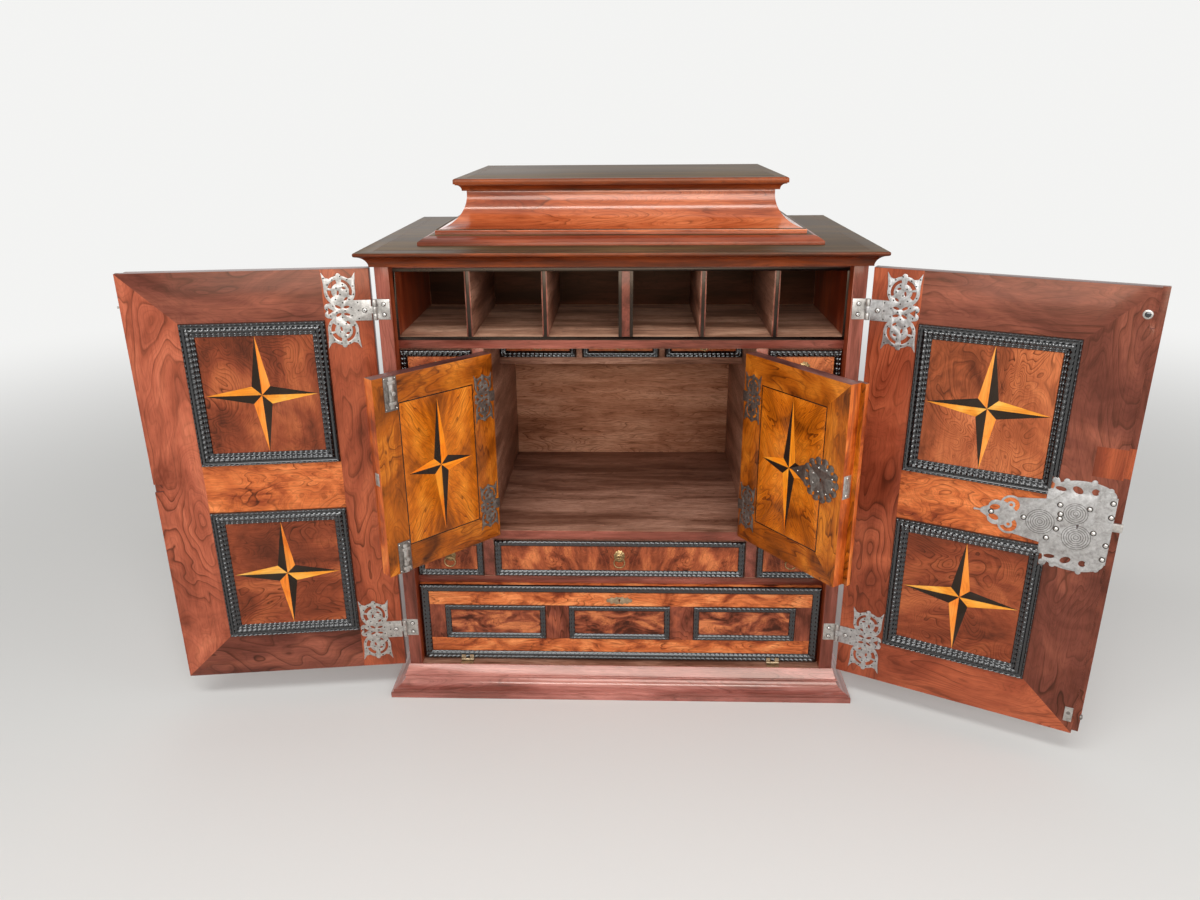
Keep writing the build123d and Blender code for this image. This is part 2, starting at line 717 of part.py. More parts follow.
def lobe_openings(cx, cz, radius, toward, up):
    """Sawn openings of one round lobe: three curved slots round a boss, and three leaves.

    toward is the side of the strap, and up is +1 for the upper lobe and -1 for the lower."""
    r = radius
    openings = []
    for start, span, middle, width in ((-22, 98, 0.7, 0.19), (104, 58, 0.65, 0.25), (174, 44, 0.66, 0.26)):
        first = start if toward > 0 else 180 - start - span
        first = first if up > 0 else -first - span
        openings.append(arc_slot(cx, cz, middle * r, width * r, first, span))
    for along, rise, length, width, tilt in (
        (0.36, -0.5, 0.15, 0.08, 40),
        (-0.12, -0.1, 0.16, 0.075, 80),
        (0.28, 0.2, 0.13, 0.075, -20),
    ):
        leaf = Rot(0, 0, toward * up * tilt) * Ellipse(length * r, width * r)
        openings.append(Pos(cx + toward * along * r, cz + up * rise * r) * leaf)
    return openings


def side_horn(cx, cz, radius, side, up):
    """A spike that carries the lobe's side straight on and turns out a little at its tip."""
    r = radius
    places = [(0.99, -0.05), (1.0, 0.5), (1.08, 1.22), (0.84, 0.86), (0.5, 0.78), (0.4, 0.1)]
    return outline(*[(cx + side * x * r, cz + up * z * r) for x, z in places])


def hinge_plate_sketch(cx, cz, radius, offset, strap_end, strap_height):
    """Pierced double-lobed hinge plate with a strap that runs to x = strap_end."""
    r = radius
    toward = 1 if strap_end > cx else -1
    plate = Pos(cx, cz) * Rectangle(1.56 * r, 1.0 * r)
    x0, x1 = sorted((cx, strap_end))
    plate += Pos((x0 + x1) / 2, cz) * Rectangle(x1 - x0, strap_height)
    for up in (-1, 1):
        plate += Pos(cx - toward * 0.84 * r, cz + up * 0.24 * r) * Circle(0.24 * r)
        plate += Pos(cx, cz + up * offset) * Circle(r)
        plate += Pos(cx, cz + up * (offset + r)) * Circle(0.16 * r)
        for side in (-1, 1):
            plate += side_horn(cx, cz + up * offset, r, side, up)
    for up in (-1, 1):
        for opening in lobe_openings(cx, cz + up * offset, r, toward, up):
            plate -= opening
        for along, rise, tilt in ((0.34, 0.24, 12), (-0.2, 0.26, -28)):
            leaf = Rot(0, 0, toward * up * tilt) * Ellipse(0.2 * r, 0.09 * r)
            plate -= Pos(cx + toward * along * r, cz + up * rise * r) * leaf
    base = cx - toward * 0.86 * r
    tip = cx - toward * 0.5 * r
    return plate - outline((base, cz + 0.24 * r), (tip, cz), (base, cz - 0.24 * r))


def knuckles(pin, z, height, radius, pin_radius, axis, fixed):
    """Barrel pieces of one hinge: the outer two on the fixed leaf, or the middle one."""
    length = height / 3
    hole = pin_radius + pin_clearance
    start = (pin[0], pin[1], z - height / 2)
    spans = (0, 2) if fixed else (1,)
    pieces = []
    for k in spans:
        lift = k * length + (knuckle_end_gap / 2 if k else 0)
        drop = knuckle_end_gap if k == 1 else knuckle_end_gap / 2
        base = (start[0], start[1], start[2] + lift)
        pieces.append(rod(radius, base, axis, length - drop) - rod(hole, base, axis, length))
    return pieces


# ------------------------------------------------------------------ outer doors
outer_pin_x = half_width + outer_pin_offset
outer_edge_x = outer_pin_x - door_hinge_edge_gap
outer_face = -door_gap
outer_front = outer_face - outer_door_thickness
outer_bottom = plinth_height + door_end_gap
outer_top = carcass_top - door_end_gap


def outer_frames(side):
    """Rectangles x0, x1, z0, z1 of the two moulded frames on one outer door."""
    xs = sorted((side * (outer_edge_x - outer_frame_margin),
                 side * (outer_edge_x - outer_frame_margin - outer_frame_width)))
    return [(xs[0], xs[1], z, z + outer_frame_height) for z in (lower_frame_bottom, upper_frame_bottom)]


def edge_bolt_slot(z0, z1):
    """Slot for an edge bolt, open at the meeting edge of the left outer door."""
    c = slide_clearance
    return board(edge_bolt_x0 - c, 0, edge_bolt_d0 - c, edge_bolt_d1 + c, z0, z1)


def outer_bolt_recess(x0, x1):
    """Channel of the outer lock's bolt, open towards the inner face."""
    c = slide_clearance
    z = outer_bolt_height
    half = outer_bolt[1] / 2 + c
    d0 = outer_face - outer_bolt[2] - 2 * c
    return board(x0, x1, d0, outer_face, z - half, z + half)


def lock_body_notch():
    """Room cut out of the right door's frames where the lock plate lies over their corners."""
    c = slide_clearance
    cx = outer_edge_x - outer_lock_centre[0]
    cz = outer_lock_centre[1]
    half_x, half_z = outer_lock_body
    rise = half_z + outer_lock_crest[1] + c
    notch = board(cx - half_x, cx + half_x + c, outer_face, 20, cz - half_z - c, cz + half_z + c)
    return notch + board(cx - half_x, cx + half_x - 4 + c, outer_face, 20, cz - rise, cz + rise)


def make_outer_door(side, name, angle):
    pin = (side * outer_pin_x, outer_pin_depth)
    meet = side * door_meeting_gap / 2
    x0, x1 = sorted((side * outer_edge_x, meet))
    leaf = board(x0, x1, outer_front, outer_face, outer_bottom, outer_top)
    if side < 0:
        rebate = lip_width + lip_clearance + door_meeting_gap / 2
        leaf -= board(-rebate, 0, outer_front, outer_front + lip_thickness + lip_clearance,
                      outer_bottom, outer_top)
        leaf -= edge_bolt_slot(outer_top - edge_bolt_length - 12, outer_top)
        leaf -= outer_bolt_recess(-outer_bolt_throw - 3, 0)
    else:
        leaf += board(-lip_width, meet, outer_front, outer_front + lip_thickness, outer_bottom, outer_top)
        leaf -= outer_bolt_recess(0, outer_bolt[0] + 4)
        knob_z = thumb_knob_height()
        leaf -= board(0, 8, outer_face - 10, outer_face, knob_z - 6, knob_z + edge_bolt_throw + 6)
        keyhole = keyhole_sketch(outer_edge_x - outer_lock_centre[0], outer_lock_centre[1])
        leaf -= prism_xz(keyhole, outer_front, outer_face)
    frames = []
    inlays = []
    for fx0, fx1, fz0, fz1 in outer_frames(side):
        frames += moulded_frame(fx0, fx1, fz0, fz1, outer_face, 1, door_moulding)
        centre = ((fx0 + fx1) / 2, (fz0 + fz1) / 2)
        inlays += star_wedges(*centre, outer_star, outer_face - inlay_depth, outer_face)
        leaf -= star_outline(*centre, outer_star, outer_face - inlay_depth, outer_face)
    if side > 0:
        frames = [strip - lock_body_notch() for strip in frames]
    plates = []
    for z in outer_hinge_heights:
        cx = side * (outer_edge_x - outer_plate_centre)
        reach = pin[0] - side * (outer_pin_radius + 1)
        sketch = hinge_plate_sketch(cx, z, lobe_radius, lobe_offset, reach, outer_strap_height)
        plate = prism_xz(sketch, outer_face, outer_face + plate_thickness)
        keep = board(*sorted((side * (outer_edge_x - 0.5), side * (half_width + 20))), outer_face - 1,
                     outer_face + plate_thickness + 1, z - 100, z - outer_strap_height / 6)
        plate -= keep
        plate -= keep.mirror(Plane.XY.offset(z))
        barrel = knuckles(pin, z, outer_strap_height, outer_knuckle_radius, outer_pin_radius,
                          (0, 0, 1), False)
        bore = rod(outer_pin_radius + pin_clearance, (pin[0], pin[1], z - 50), (0, 0, 1), 100)
        plates.append(plate - bore + barrel[0])
    body = name + "_outer"
    turned = {
        body + "_door": [leaf],
        body + "_frames": frames,
        body + "_stars": inlays,
        body + "_ironwork": plates,
    }
    extras = make_edge_bolt(body) if side < 0 else make_outer_lock()
    for node, shapes in list(turned.items()) + list(extras.items()):
        add(node, *swing(shapes, pin, side * angle))


def thumb_knob_height():
    return outer_top - edge_bolt_length / 2


def make_edge_bolt(body):
    """Sliding bolt let into the left door's meeting edge; it shoots up into the cornice."""
    x0, x1, d0, d1 = edge_bolt_x0, edge_bolt_x1, edge_bolt_d0, edge_bolt_d1
    bar = board(x0, x1, d0, d1, outer_top - edge_bolt_length, outer_top - 0.5)
    knob = rod(edge_bolt_knob, (x1 - 1, (d0 + d1) / 2, thumb_knob_height()), (1, 0, 0), 6.0)
    return {body + "_edge_bolt": [bar + knob]}


def keyhole_sketch(x, z):
    """Round eye with a straight slot below it."""
    return Pos(x, z + 1.5) * Circle(2.2) + Pos(x, z - 1.5) * Rectangle(2.0, 6.0)


def outer_lock_outline():
    """Lock plate: square body with pierced crests and a scrolled tail with a finial."""
    cx = outer_edge_x - outer_lock_centre[0]
    cz = outer_lock_centre[1]
    half_x, half_z = outer_lock_body
    crest_x, crest_z = outer_lock_crest
    neck = outer_lock_neck
    end = cx + outer_lock_tail
    shoulder = end - 64
    plate = Pos(cx, cz) * Rectangle(2 * half_x, 2 * half_z)
    plate += outline((cx, cz + neck + 2), (cx + half_x, cz + neck + 2), (shoulder, cz + neck - 6),
                     (shoulder - 6, cz), (shoulder, cz - neck + 6), (cx + half_x, cz - neck - 2),
                     (cx, cz - neck - 2))
    plate += Pos(shoulder + 10, cz) * Rectangle(50, 20)
    plate += outline((end - 26, cz + 12), (end - 12, cz + 4), (end - 12, cz - 4), (end - 26, cz - 12))
    plate += Pos(end - 8, cz) * Rectangle(14, 3)
    plate += Pos(end - 2, cz) * Circle(2)
    for up in (-1, 1):
        plate += Pos(cx - 2, cz + up * half_z) * Ellipse(crest_x, crest_z)
        plate += Pos(cx + half_x - 10, cz + up * (half_z + 16)) * Circle(6)
        plate += Pos(cx + half_x - 13, cz + up * (half_z + 6)) * Rectangle(8, 20)
        plate += Pos(shoulder + 3, cz + up * 19) * Circle(18)
        plate += Pos(shoulder + 26, cz + up * 10) * Circle(14)
    for up in (-1, 1):
        plate -= arc_slot(shoulder + 3, cz + up * 19, 10.5, 7.5, up * 20 if up > 0 else 130, 210)
        plate -= Pos(shoulder + 3, cz + up * 19) * Circle(3)
        plate -= Pos(shoulder + 29, cz + up * 9.5) * Rot(0, 0, -up * 20) * Ellipse(9, 5.5)
        for along, rise, length, width, tilt in ((35, 65, 9, 4, -6), (9, 67, 9, 6, -30), (-18, 68, 6, 6, 0)):
            leaf = Rot(0, 0, -up * tilt) * Ellipse(length, width)
            plate -= Pos(cx + along, cz + up * rise) * leaf
        for along, rise in ((-27, 67), (22, 66)):
            plate += Pos(cx + along, cz + up * rise) * Circle(5)
        for along, rise, size in ((-40, 74, 5), (-14, 85, 4.5), (28, 80, 5)):
            plate += Pos(cx + along, cz + up * rise) * Circle(size)
    trim = cx - door_meeting_gap / 2 - 1
    span = 2 * (outer_lock_tail + half_x)
    plate &= Pos(cx + span / 2 - trim, cz) * Rectangle(span, span)
    return plate - keyhole_sketch(cx, cz)


def make_outer_lock():
    """Pierced lock plate, the bolt behind it and the escutcheon on the front."""
    cx = outer_edge_x - outer_lock_centre[0]
    cz = outer_lock_centre[1]
    skin = prism_xz(outer_lock_outline(), outer_face, outer_face + plate_thickness)
    front = Pos(cx, cz) * Ellipse(*door_escutcheon) - keyhole_sketch(cx, cz)
    shield = prism_xz(front, outer_front - plate_thickness, outer_front)
    c = slide_clearance
    length, height, thickness = outer_bolt
    z = outer_bolt_height
    bolt = board(-outer_bolt_throw + 0.5, length - outer_bolt_throw, outer_face - thickness - c,
                 outer_face - c, z - height / 2, z + height / 2)
    return {"right_outer_ironwork": [skin, shield], "outer_lock_bolt": [bolt]}


def make_outer_hinge_leaves():
    for side in (-1, 1):
        pin = (side * outer_pin_x, outer_pin_depth)
        for z in outer_hinge_heights:
            leaf = leaf_plate(side, z, outer_strap_height)
            middle = outer_strap_height / 3
            x0, x1 = sorted((side * half_width, side * (outer_pin_x + 2)))
            leaf -= board(x0, x1, -1, plate_thickness + 1, z - middle / 2, z + middle / 2)
            barrels = knuckles(pin, z, outer_strap_height, outer_knuckle_radius, outer_pin_radius,
                               (0, 0, 1), True)
            bore = rod(outer_pin_radius, (pin[0], pin[1], z - 50), (0, 0, 1), 100)
            shape = (leaf - bore) + barrels[0] + barrels[1]
            axle = rod(outer_pin_radius, (pin[0], pin[1], z - outer_strap_height / 2), (0, 0, 1),
                       outer_strap_height)
            add("outer_hinge_leaves", shape, axle)


# ------------------------------------------------------------------ inner doors
inner_edge_x = cupboard_half_width - inner_door_side_gap
inner_face = interior_setback + inner_door_thickness
inner_bottom = shelf_top + inner_door_bottom_gap
inner_top = cupboard_top - inner_door_top_gap
inner_pin_depth = interior_setback - inner_pin_stand


def stringing(side, d0, d1):
    """Four straight dark lines let in round the field of an inner door."""
    w = stringing_width
    x0, x1 = sorted((side * (inner_edge_x - stringing_margins[0]),
                     side * (inner_meeting_gap / 2 + stringing_margins[0])))
    z0, z1 = inner_bottom + stringing_margins[1], inner_top - stringing_margins[1]
    return [
        board(x0, x1, d0, d1, z0, z0 + w),
        board(x0, x1, d0, d1, z1 - w, z1),
        board(x0, x0 + w, d0, d1, z0 + w, z1 - w),
        board(x1 - w, x1, d0, d1, z0 + w, z1 - w),
    ]


def inner_hinge_z():
    return [inner_bottom + offset for offset in inner_hinge_offsets]


def make_inner_door(side, name, angle):
    pin = (side * cupboard_half_width, inner_pin_depth)
    x0, x1 = sorted((side * inner_edge_x, side * inner_meeting_gap / 2))
    leaf = board(x0, x1, interior_setback, inner_face, inner_bottom, inner_top)
    centre = ((x0 + x1) / 2, (inner_bottom + inner_top) / 2)
    d0, d1 = inner_face - inlay_depth, inner_face
    inlays = stringing(side, d0, d1) + star_wedges(*centre, inner_star, d0, d1)
    for line in stringing(side, d0, d1):
        leaf -= line
    leaf -= star_outline(*centre, inner_star, d0, d1)
    c = slide_clearance
    length, height, thickness = inner_bolt
    bolt_z = inner_lock_centre[1]
    b0 = (interior_setback + inner_face - thickness) / 2
    half = height / 2 + c
    if side < 0:
        leaf -= board(-inner_bolt_throw - 3, 0, b0 - c, b0 + thickness + c, bolt_z - half, bolt_z + half)
    else:
        leaf -= board(0, length + 4, b0 - c, b0 + thickness + c, bolt_z - half, bolt_z + half)
        leaf -= lock_edge_board(interior_setback + 3)
        keyhole = keyhole_sketch(inner_edge_x - inner_lock_centre[0], bolt_z)
        leaf -= prism_xz(keyhole, interior_setback, inner_face)
    plates = []
    for z in inner_hinge_z():
        cx = side * (inner_edge_x - inner_plate_centre)
        edge = side * (inner_edge_x + plate_thickness)
        sketch = hinge_plate_sketch(cx, z, inner_lobe_radius, inner_lobe_offset, edge, inner_strap_height)
        plate = prism_xz(sketch, inner_face, inner_face + plate_thickness)
        wrap_x = sorted((side * inner_edge_x, edge))
        middle = inner_strap_height / 6 - knuckle_end_gap / 2
        wrap = board(*wrap_x, inner_pin_depth, inner_face, z - middle, z + middle)
        barrel = knuckles(pin, z, inner_strap_height, inner_knuckle_radius, inner_pin_radius,
                          (0, 0, 1), False)
        bore = rod(inner_pin_radius + pin_clearance, (pin[0], pin[1], z - 30), (0, 0, 1), 60)
        plates.append(plate + (wrap - bore) + barrel[0])
    body = name + "_inner"
    turned = {body + "_inlays": inlays, body + "_ironwork": plates}
    if side < 0:
        turned[body + "_door"] = [leaf]
        extras = make_face_bolts(body)
    else:
        strip = board(-astragal_overlap, astragal_width - astragal_overlap,
                      interior_setback - astragal_thickness, interior_setback, inner_bottom, inner_top)
        turned[body + "_door"] = [leaf, strip]
        extras = make_inner_lock(b0)
    for node, shapes in list(turned.items()) + list(extras.items()):
        add(node, *swing(shapes, pin, side * angle))


def make_face_bolts(body):
    """Two knobbed bolts on plates at the left door's corners, held by pairs of staples."""
    x = face_bolt_x()
    face = inner_face
    half = face_bolt_width / 2
    plate_half = face_bolt_plate[0] / 2
    d0 = face + plate_thickness
    d1 = d0 + face_bolt_thickness
    c = slide_clearance
    shapes = {}
    plates = []
    for up, label in ((1, "upper"), (-1, "lower")):
        end = inner_top if up > 0 else inner_bottom
        z0, z1 = sorted((end, end - up * face_bolt_plate[1]))
        plates.append(board(x - plate_half, x + plate_half, face, d0, z0, z1))
        for along in (10, 48):
            zc = end - up * along
            staple = board(x - half - 3, x + half + 3, d0, d1 + c + 1.5, zc - 3, zc + 3)
            staple -= board(x - half - c, x + half + c, d0 - 1, d1 + c, zc - 4, zc + 4)
            plates.append(staple)
        b0, b1 = sorted((end - up * 0.5, end - up * face_bolt_length))
        bar = board(x - half, x + half, d0 + c / 2, d1, b0, b1)
        knob_z = end - up * 29
        knob = rod(2.2, (x, d1 - 0.5, knob_z), (0, 1, 0), 5.0)
        knob += rod(4.0, (x, d1 + 3.5, knob_z), (0, 1, 0), 3.5)
        shapes["%s_%s_bolt" % (body, label)] = [bar + knob]
    shapes[body + "_ironwork"] = plates
    return shapes


def inner_lock_outline():
    """Scalloped disc with a ring of piercings and a pointed tail."""
    cx = inner_edge_x - inner_lock_centre[0]
    cz = inner_lock_centre[1]
    r = inner_lock_radius
    pitch = 360 / inner_lock_lobes
    plate = Pos(cx, cz) * Circle(0.9 * r)
    plate += outline((cx + 0.6 * r, cz + 0.55 * r), (cx + r + inner_lock_tail, cz),
                     (cx + 0.6 * r, cz - 0.55 * r))
    for k in range(inner_lock_lobes):
        a = radians(pitch * k)
        plate += Pos(cx + 0.83 * r * cos(a), cz + 0.83 * r * sin(a)) * Circle(0.17 * r)
    for k in range(inner_lock_lobes):
        a = radians(pitch * (k + 0.5))
        leaf = Rot(0, 0, pitch * (k + 0.5)) * Ellipse(0.11 * r, 0.06 * r)
        plate -= Pos(cx + 0.78 * r * cos(a), cz + 0.78 * r * sin(a)) * leaf
    return plate - keyhole_sketch(cx, cz)


def lock_edge_board(d0):
    """Space of the edge plate let into the right inner door's meeting edge."""
    height, width, thickness = lock_edge_plate
    edge = inner_meeting_gap / 2
    cz = inner_lock_centre[1]
    return board(edge, edge + thickness, d0, d0 + width, cz - height / 2, cz + height / 2)


def make_inner_lock(b0):
    """Lock plate on the right inner door, its edge plate, escutcheon and bolt."""
    cx = inner_edge_x - inner_lock_centre[0]
    cz = inner_lock_centre[1]
    skin = prism_xz(inner_lock_outline(), inner_face, inner_face + plate_thickness)
    front = Pos(cx, cz) * Ellipse(*door_escutcheon) - keyhole_sketch(cx, cz)
    shield = prism_xz(front, interior_setback - plate_thickness, interior_setback)
    length, height, thickness = inner_bolt
    c = slide_clearance
    edge = inner_meeting_gap / 2
    hole = board(edge - 1, edge + 5, b0 - c, b0 + thickness + c, cz - height / 2 - c, cz + height / 2 + c)
    faceplate = lock_edge_board(interior_setback + 3) - hole
    bolt = board(edge, edge + length, b0, b0 + thickness, cz - height / 2, cz + height / 2)
    return {"right_inner_ironwork": [skin, shield, faceplate], "inner_lock_bolt": [bolt]}


def make_inner_hinge_leaves():
    for side in (-1, 1):
        pin = (side * cupboard_half_width, inner_pin_depth)
        for z in inner_hinge_z():
            half = inner_strap_height / 2
            x0, x1 = sorted((side * cupboard_half_width, side * (column_inner - 4)))
            leaf = board(x0, x1, interior_setback - plate_thickness, interior_setback, z - half, z + half)
            gap_x = sorted((side * (cupboard_half_width - 1),
                            side * (cupboard_half_width + inner_knuckle_radius + 1)))
            leaf -= board(*gap_x, interior_setback - plate_thickness - 1, interior_setback + 1,
                          z - half / 3, z + half / 3)
            barrels = knuckles(pin, z, inner_strap_height, inner_knuckle_radius, inner_pin_radius,
                               (0, 0, 1), True)
            bore = rod(inner_pin_radius, (pin[0], pin[1], z - 30), (0, 0, 1), 60)
            shape = (leaf - bore) + barrels[0] + barrels[1]
            axle = rod(inner_pin_radius, (pin[0], pin[1], z - half), (0, 0, 1), inner_strap_height)
            add("inner_hinge_leaves", shape, axle)


# ------------------------------------------------------------------ fall flap
flap_half = inside_half - flap_side_gap
flap_bottom = plinth_height + flap_bottom_gap
flap_top = flap_rail_bottom - flap_top_gap
flap_back = flap_setback + flap_thickness
flap_moulding_front = flap_setback - flap_moulding[1]
flap_pin = (flap_moulding_front - flap_knuckle_radius - 0.4, plinth_height + flap_pin_height)


def cartouche(half_length, half_height):
    """Outline of the flap's key plate: an oval body with leaf tips at its ends and sides."""
    shape = Ellipse(0.7 * half_length, 0.86 * half_height)
    for side in (-1, 1):
        shape += Pos(side * 0.84 * half_length, 0) * Circle(0.16 * half_length)
        shape += Pos(side * 0.62 * half_length, 0) * Rectangle(0.3 * half_length, 0.5 * half_height)
        for up in (-1, 1):
            shape += Pos(side * 0.6 * half_length, up * 0.44 * half_height) * Circle(0.13 * half_length)
            shape += Pos(side * 0.22 * half_length, up * 0.76 * half_height) * Circle(0.24 * half_height)
    return shape


def make_flap():
    keyhole = keyhole_sketch(0, escutcheon_height)
    leaf = board(-flap_half, flap_half, flap_setback, flap_back, flap_bottom, flap_top)
    add("flap_board", leaf - prism_xz(keyhole, flap_setback, flap_back))
    add("flap_mouldings", *moulded_frame(-flap_half, flap_half, flap_bottom, flap_top, flap_setback, -1,
                                         flap_moulding))
    for k in (-1, 0, 1):
        x = k * flap_panel_pitch
        half = flap_panel_width / 2
        add("flap_mouldings", *moulded_frame(x - half, x + half, flap_panel_bottom,
                                             flap_panel_bottom + flap_panel_height, flap_setback, -1,
                                             panel_moulding))
    plate = Pos(0, escutcheon_height) * cartouche(*escutcheon) - keyhole
    add("flap_fittings", prism_xz(plate, flap_setback - plate_thickness, flap_setback))
    width, height, depth = flap_lock_case
    length = flap_bolt[1]
    c = slide_clearance
    case = board(-width / 2, width / 2, flap_back, flap_back + depth, flap_top - height, flap_top)
    b0 = flap_back + 2
    channel = board(-flap_bolt[0] / 2 - c, flap_bolt[0] / 2 + c, b0 - c, b0 + flap_bolt[2] + c,
                    flap_top - length - 2, flap_top + 1)
    add("flap_fittings", case - channel)
    add("flap_lock_bolt", board(-flap_bolt[0] / 2, flap_bolt[0] / 2, b0, b0 + flap_bolt[2],
                                flap_top - length, flap_top - 0.5))
    third = flap_hinge_width / 3
    for side in (-1, 1):
        x = side * flap_hinge_spacing / 2
        start = x - flap_hinge_width / 2
        hole = rod(flap_pin_radius + pin_clearance, (start - 1, *flap_pin), (1, 0, 0), flap_hinge_width + 2)
        for k in (0, 2):
            low = start + k * third + (knuckle_end_gap / 2 if k else 0)
            length = third - knuckle_end_gap / 2
            barrel = rod(flap_knuckle_radius, (low, *flap_pin), (1, 0, 0), length)
            leaf = board(low, low + length, flap_moulding_front - plate_thickness, flap_moulding_front,
                         flap_pin[1] - 1.5, flap_bottom + 12)
            add("flap_fittings", barrel + leaf - hole)
        low = start + third + knuckle_end_gap / 2
        length = third - knuckle_end_gap
        barrel = rod(flap_knuckle_radius, (low, *flap_pin), (1, 0, 0), length)
        tab = board(low, low + length, 2, flap_pin[0], plinth_height, plinth_height + plate_thickness)
        wing = board(start, start + flap_hinge_width, 0.5, flap_pin[0] - flap_knuckle_radius - 0.4,
                     plinth_height, plinth_height + plate_thickness)
        axle = rod(flap_pin_radius, (start, *flap_pin), (1, 0, 0), flap_hinge_width)
        bore = rod(flap_pin_radius, (start - 1, *flap_pin), (1, 0, 0), flap_hinge_width + 2)
        add("flap_hinge_leaves", barrel + tab + wing - bore, axle)


# ------------------------------------------------------------------ build
def main():
    make_plinth()
    make_carcass()
    make_cornice()
    make_coved_top()
    make_interior()
    make_edging()
    make_drawers()
    make_outer_hinge_leaves()
    make_inner_hinge_leaves()
    make_outer_door(-1, "left", left_outer_angle)
    make_outer_door(1, "right", right_outer_angle)
    make_inner_door(-1, "left", left_inner_angle)
    make_inner_door(1, "right", right_inner_angle)
    make_flap()
    os.makedirs("parts", exist_ok=True)
    for name, shapes in nodes.items():
        solids = [solid for shape in shapes for solid in shape.solids()]
        export_step(Compound(children=solids), "parts/%s.step" % name)
        print(name, len(solids))
    print(len(nodes), "nodes")


main()
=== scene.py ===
# %% [markdown]
# # A walnut table cabinet with star doors
# The cabinet is veneered in walnut, with black ripple mouldings, compass stars of light and
# dark wood, and pierced iron hinges. The solid model gives every size and every joint. This
# lesson gives it wood, metal and the small work. It starts by loading that model as a frame.

# %% Load the frame
import bpy
import bmesh
import json
from math import radians, pi, sin, cos, exp, sqrt
from mathutils import Matrix, Vector
from mathutils.bvhtree import BVHTree

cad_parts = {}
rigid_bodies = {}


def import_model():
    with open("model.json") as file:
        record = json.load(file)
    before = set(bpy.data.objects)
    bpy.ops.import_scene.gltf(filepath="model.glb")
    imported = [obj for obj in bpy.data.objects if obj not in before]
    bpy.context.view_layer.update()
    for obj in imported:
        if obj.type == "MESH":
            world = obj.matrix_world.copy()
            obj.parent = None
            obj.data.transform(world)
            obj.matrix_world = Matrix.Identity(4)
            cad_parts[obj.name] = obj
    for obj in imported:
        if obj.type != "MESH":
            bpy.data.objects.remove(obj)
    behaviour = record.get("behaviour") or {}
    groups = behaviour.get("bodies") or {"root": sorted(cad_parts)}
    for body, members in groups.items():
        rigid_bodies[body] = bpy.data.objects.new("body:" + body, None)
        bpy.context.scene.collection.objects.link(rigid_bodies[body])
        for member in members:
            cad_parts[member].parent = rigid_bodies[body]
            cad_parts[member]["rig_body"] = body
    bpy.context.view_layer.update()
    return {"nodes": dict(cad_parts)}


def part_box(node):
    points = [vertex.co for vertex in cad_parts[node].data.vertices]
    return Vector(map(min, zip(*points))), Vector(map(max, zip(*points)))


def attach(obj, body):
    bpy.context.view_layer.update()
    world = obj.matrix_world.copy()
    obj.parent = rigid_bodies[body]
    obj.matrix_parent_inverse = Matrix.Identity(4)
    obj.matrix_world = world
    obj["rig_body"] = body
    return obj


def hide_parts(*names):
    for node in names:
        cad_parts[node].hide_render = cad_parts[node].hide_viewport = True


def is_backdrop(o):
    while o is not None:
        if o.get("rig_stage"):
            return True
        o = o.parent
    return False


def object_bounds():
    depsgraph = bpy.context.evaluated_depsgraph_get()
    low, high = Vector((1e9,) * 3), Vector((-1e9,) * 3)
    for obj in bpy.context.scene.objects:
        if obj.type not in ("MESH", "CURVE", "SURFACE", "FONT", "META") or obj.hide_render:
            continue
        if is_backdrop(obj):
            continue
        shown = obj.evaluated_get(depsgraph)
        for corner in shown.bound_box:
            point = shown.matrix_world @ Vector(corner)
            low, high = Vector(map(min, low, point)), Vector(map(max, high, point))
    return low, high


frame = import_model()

# %% [markdown]
# Each door swings on a pin. Its veneers and stars are easiest to lay out with the door shut, so
# this table keeps the pin and the angle at which the door stands open. One matrix shuts a door.

# %% Where the doors stand
DOORS = {
    "left_outer_door": (-0.449, -0.2695, -172.7),
    "right_outer_door": (0.449, -0.2695, 152.9),
    "left_inner_door": (-0.258, -0.2403, -134.1),
    "right_inner_door": (0.258, -0.2403, 125.2),
}
BODY_OF = {"left_outer_edge_bolt": "left_outer_door", "outer_lock_bolt": "right_outer_door",
           "left_inner_upper_bolt": "left_inner_door", "left_inner_lower_bolt": "left_inner_door",
           "inner_lock_bolt": "right_inner_door"}


def opened(body):
    """The matrix that takes a shut door, or what slides in it, to the place where it stands."""
    body = BODY_OF.get(body, body)
    if body not in DOORS:
        return Matrix.Identity(4)
    x, y, angle = DOORS[body]
    pin = Matrix.Translation((x, y, 0))
    return pin @ Matrix.Rotation(radians(angle), 4, "Z") @ pin.inverted()


def body_of(node):
    """The body of the frame on which a solid rides."""
    return frame["nodes"][node]["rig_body"]


print("hinged bodies:", sorted(DOORS))

# %% [markdown]
# Colours are easier to choose as numbers from 0 to 255, as a paint program shows them. Shaders
# want linear light, so one helper converts. The others add one node each, and link or set its
# inputs, so that a recipe below reads as a list of steps.

# %% Colours and node helpers
def paint(red, green, blue):
    """A colour in linear light, from the numbers 0 to 255 of a paint program."""
    parts = []
    for value in (red, green, blue):
        c = value / 255
        parts.append(c / 12.92 if c <= 0.04045 else ((c + 0.055) / 1.055) ** 2.4)
    return (*parts, 1.0)


def step(tree, kind, inputs=None, **settings):
    """One node. A socket given as an input is linked, and a number or colour is set."""
    node = tree.nodes.new(kind)
    for key, value in settings.items():
        setattr(node, key, value)
    for key, value in (inputs or {}).items():
        if isinstance(value, bpy.types.NodeSocket):
            tree.links.new(value, node.inputs[key])
        else:
            node.inputs[key].default_value = value
    return node


def sums(tree, kind, a, b=0.0, c=0.0):
    """One Math node. a, b and c are sockets or plain numbers."""
    return step(tree, "ShaderNodeMath", {0: a, 1: b, 2: c}, operation=kind).outputs[0]


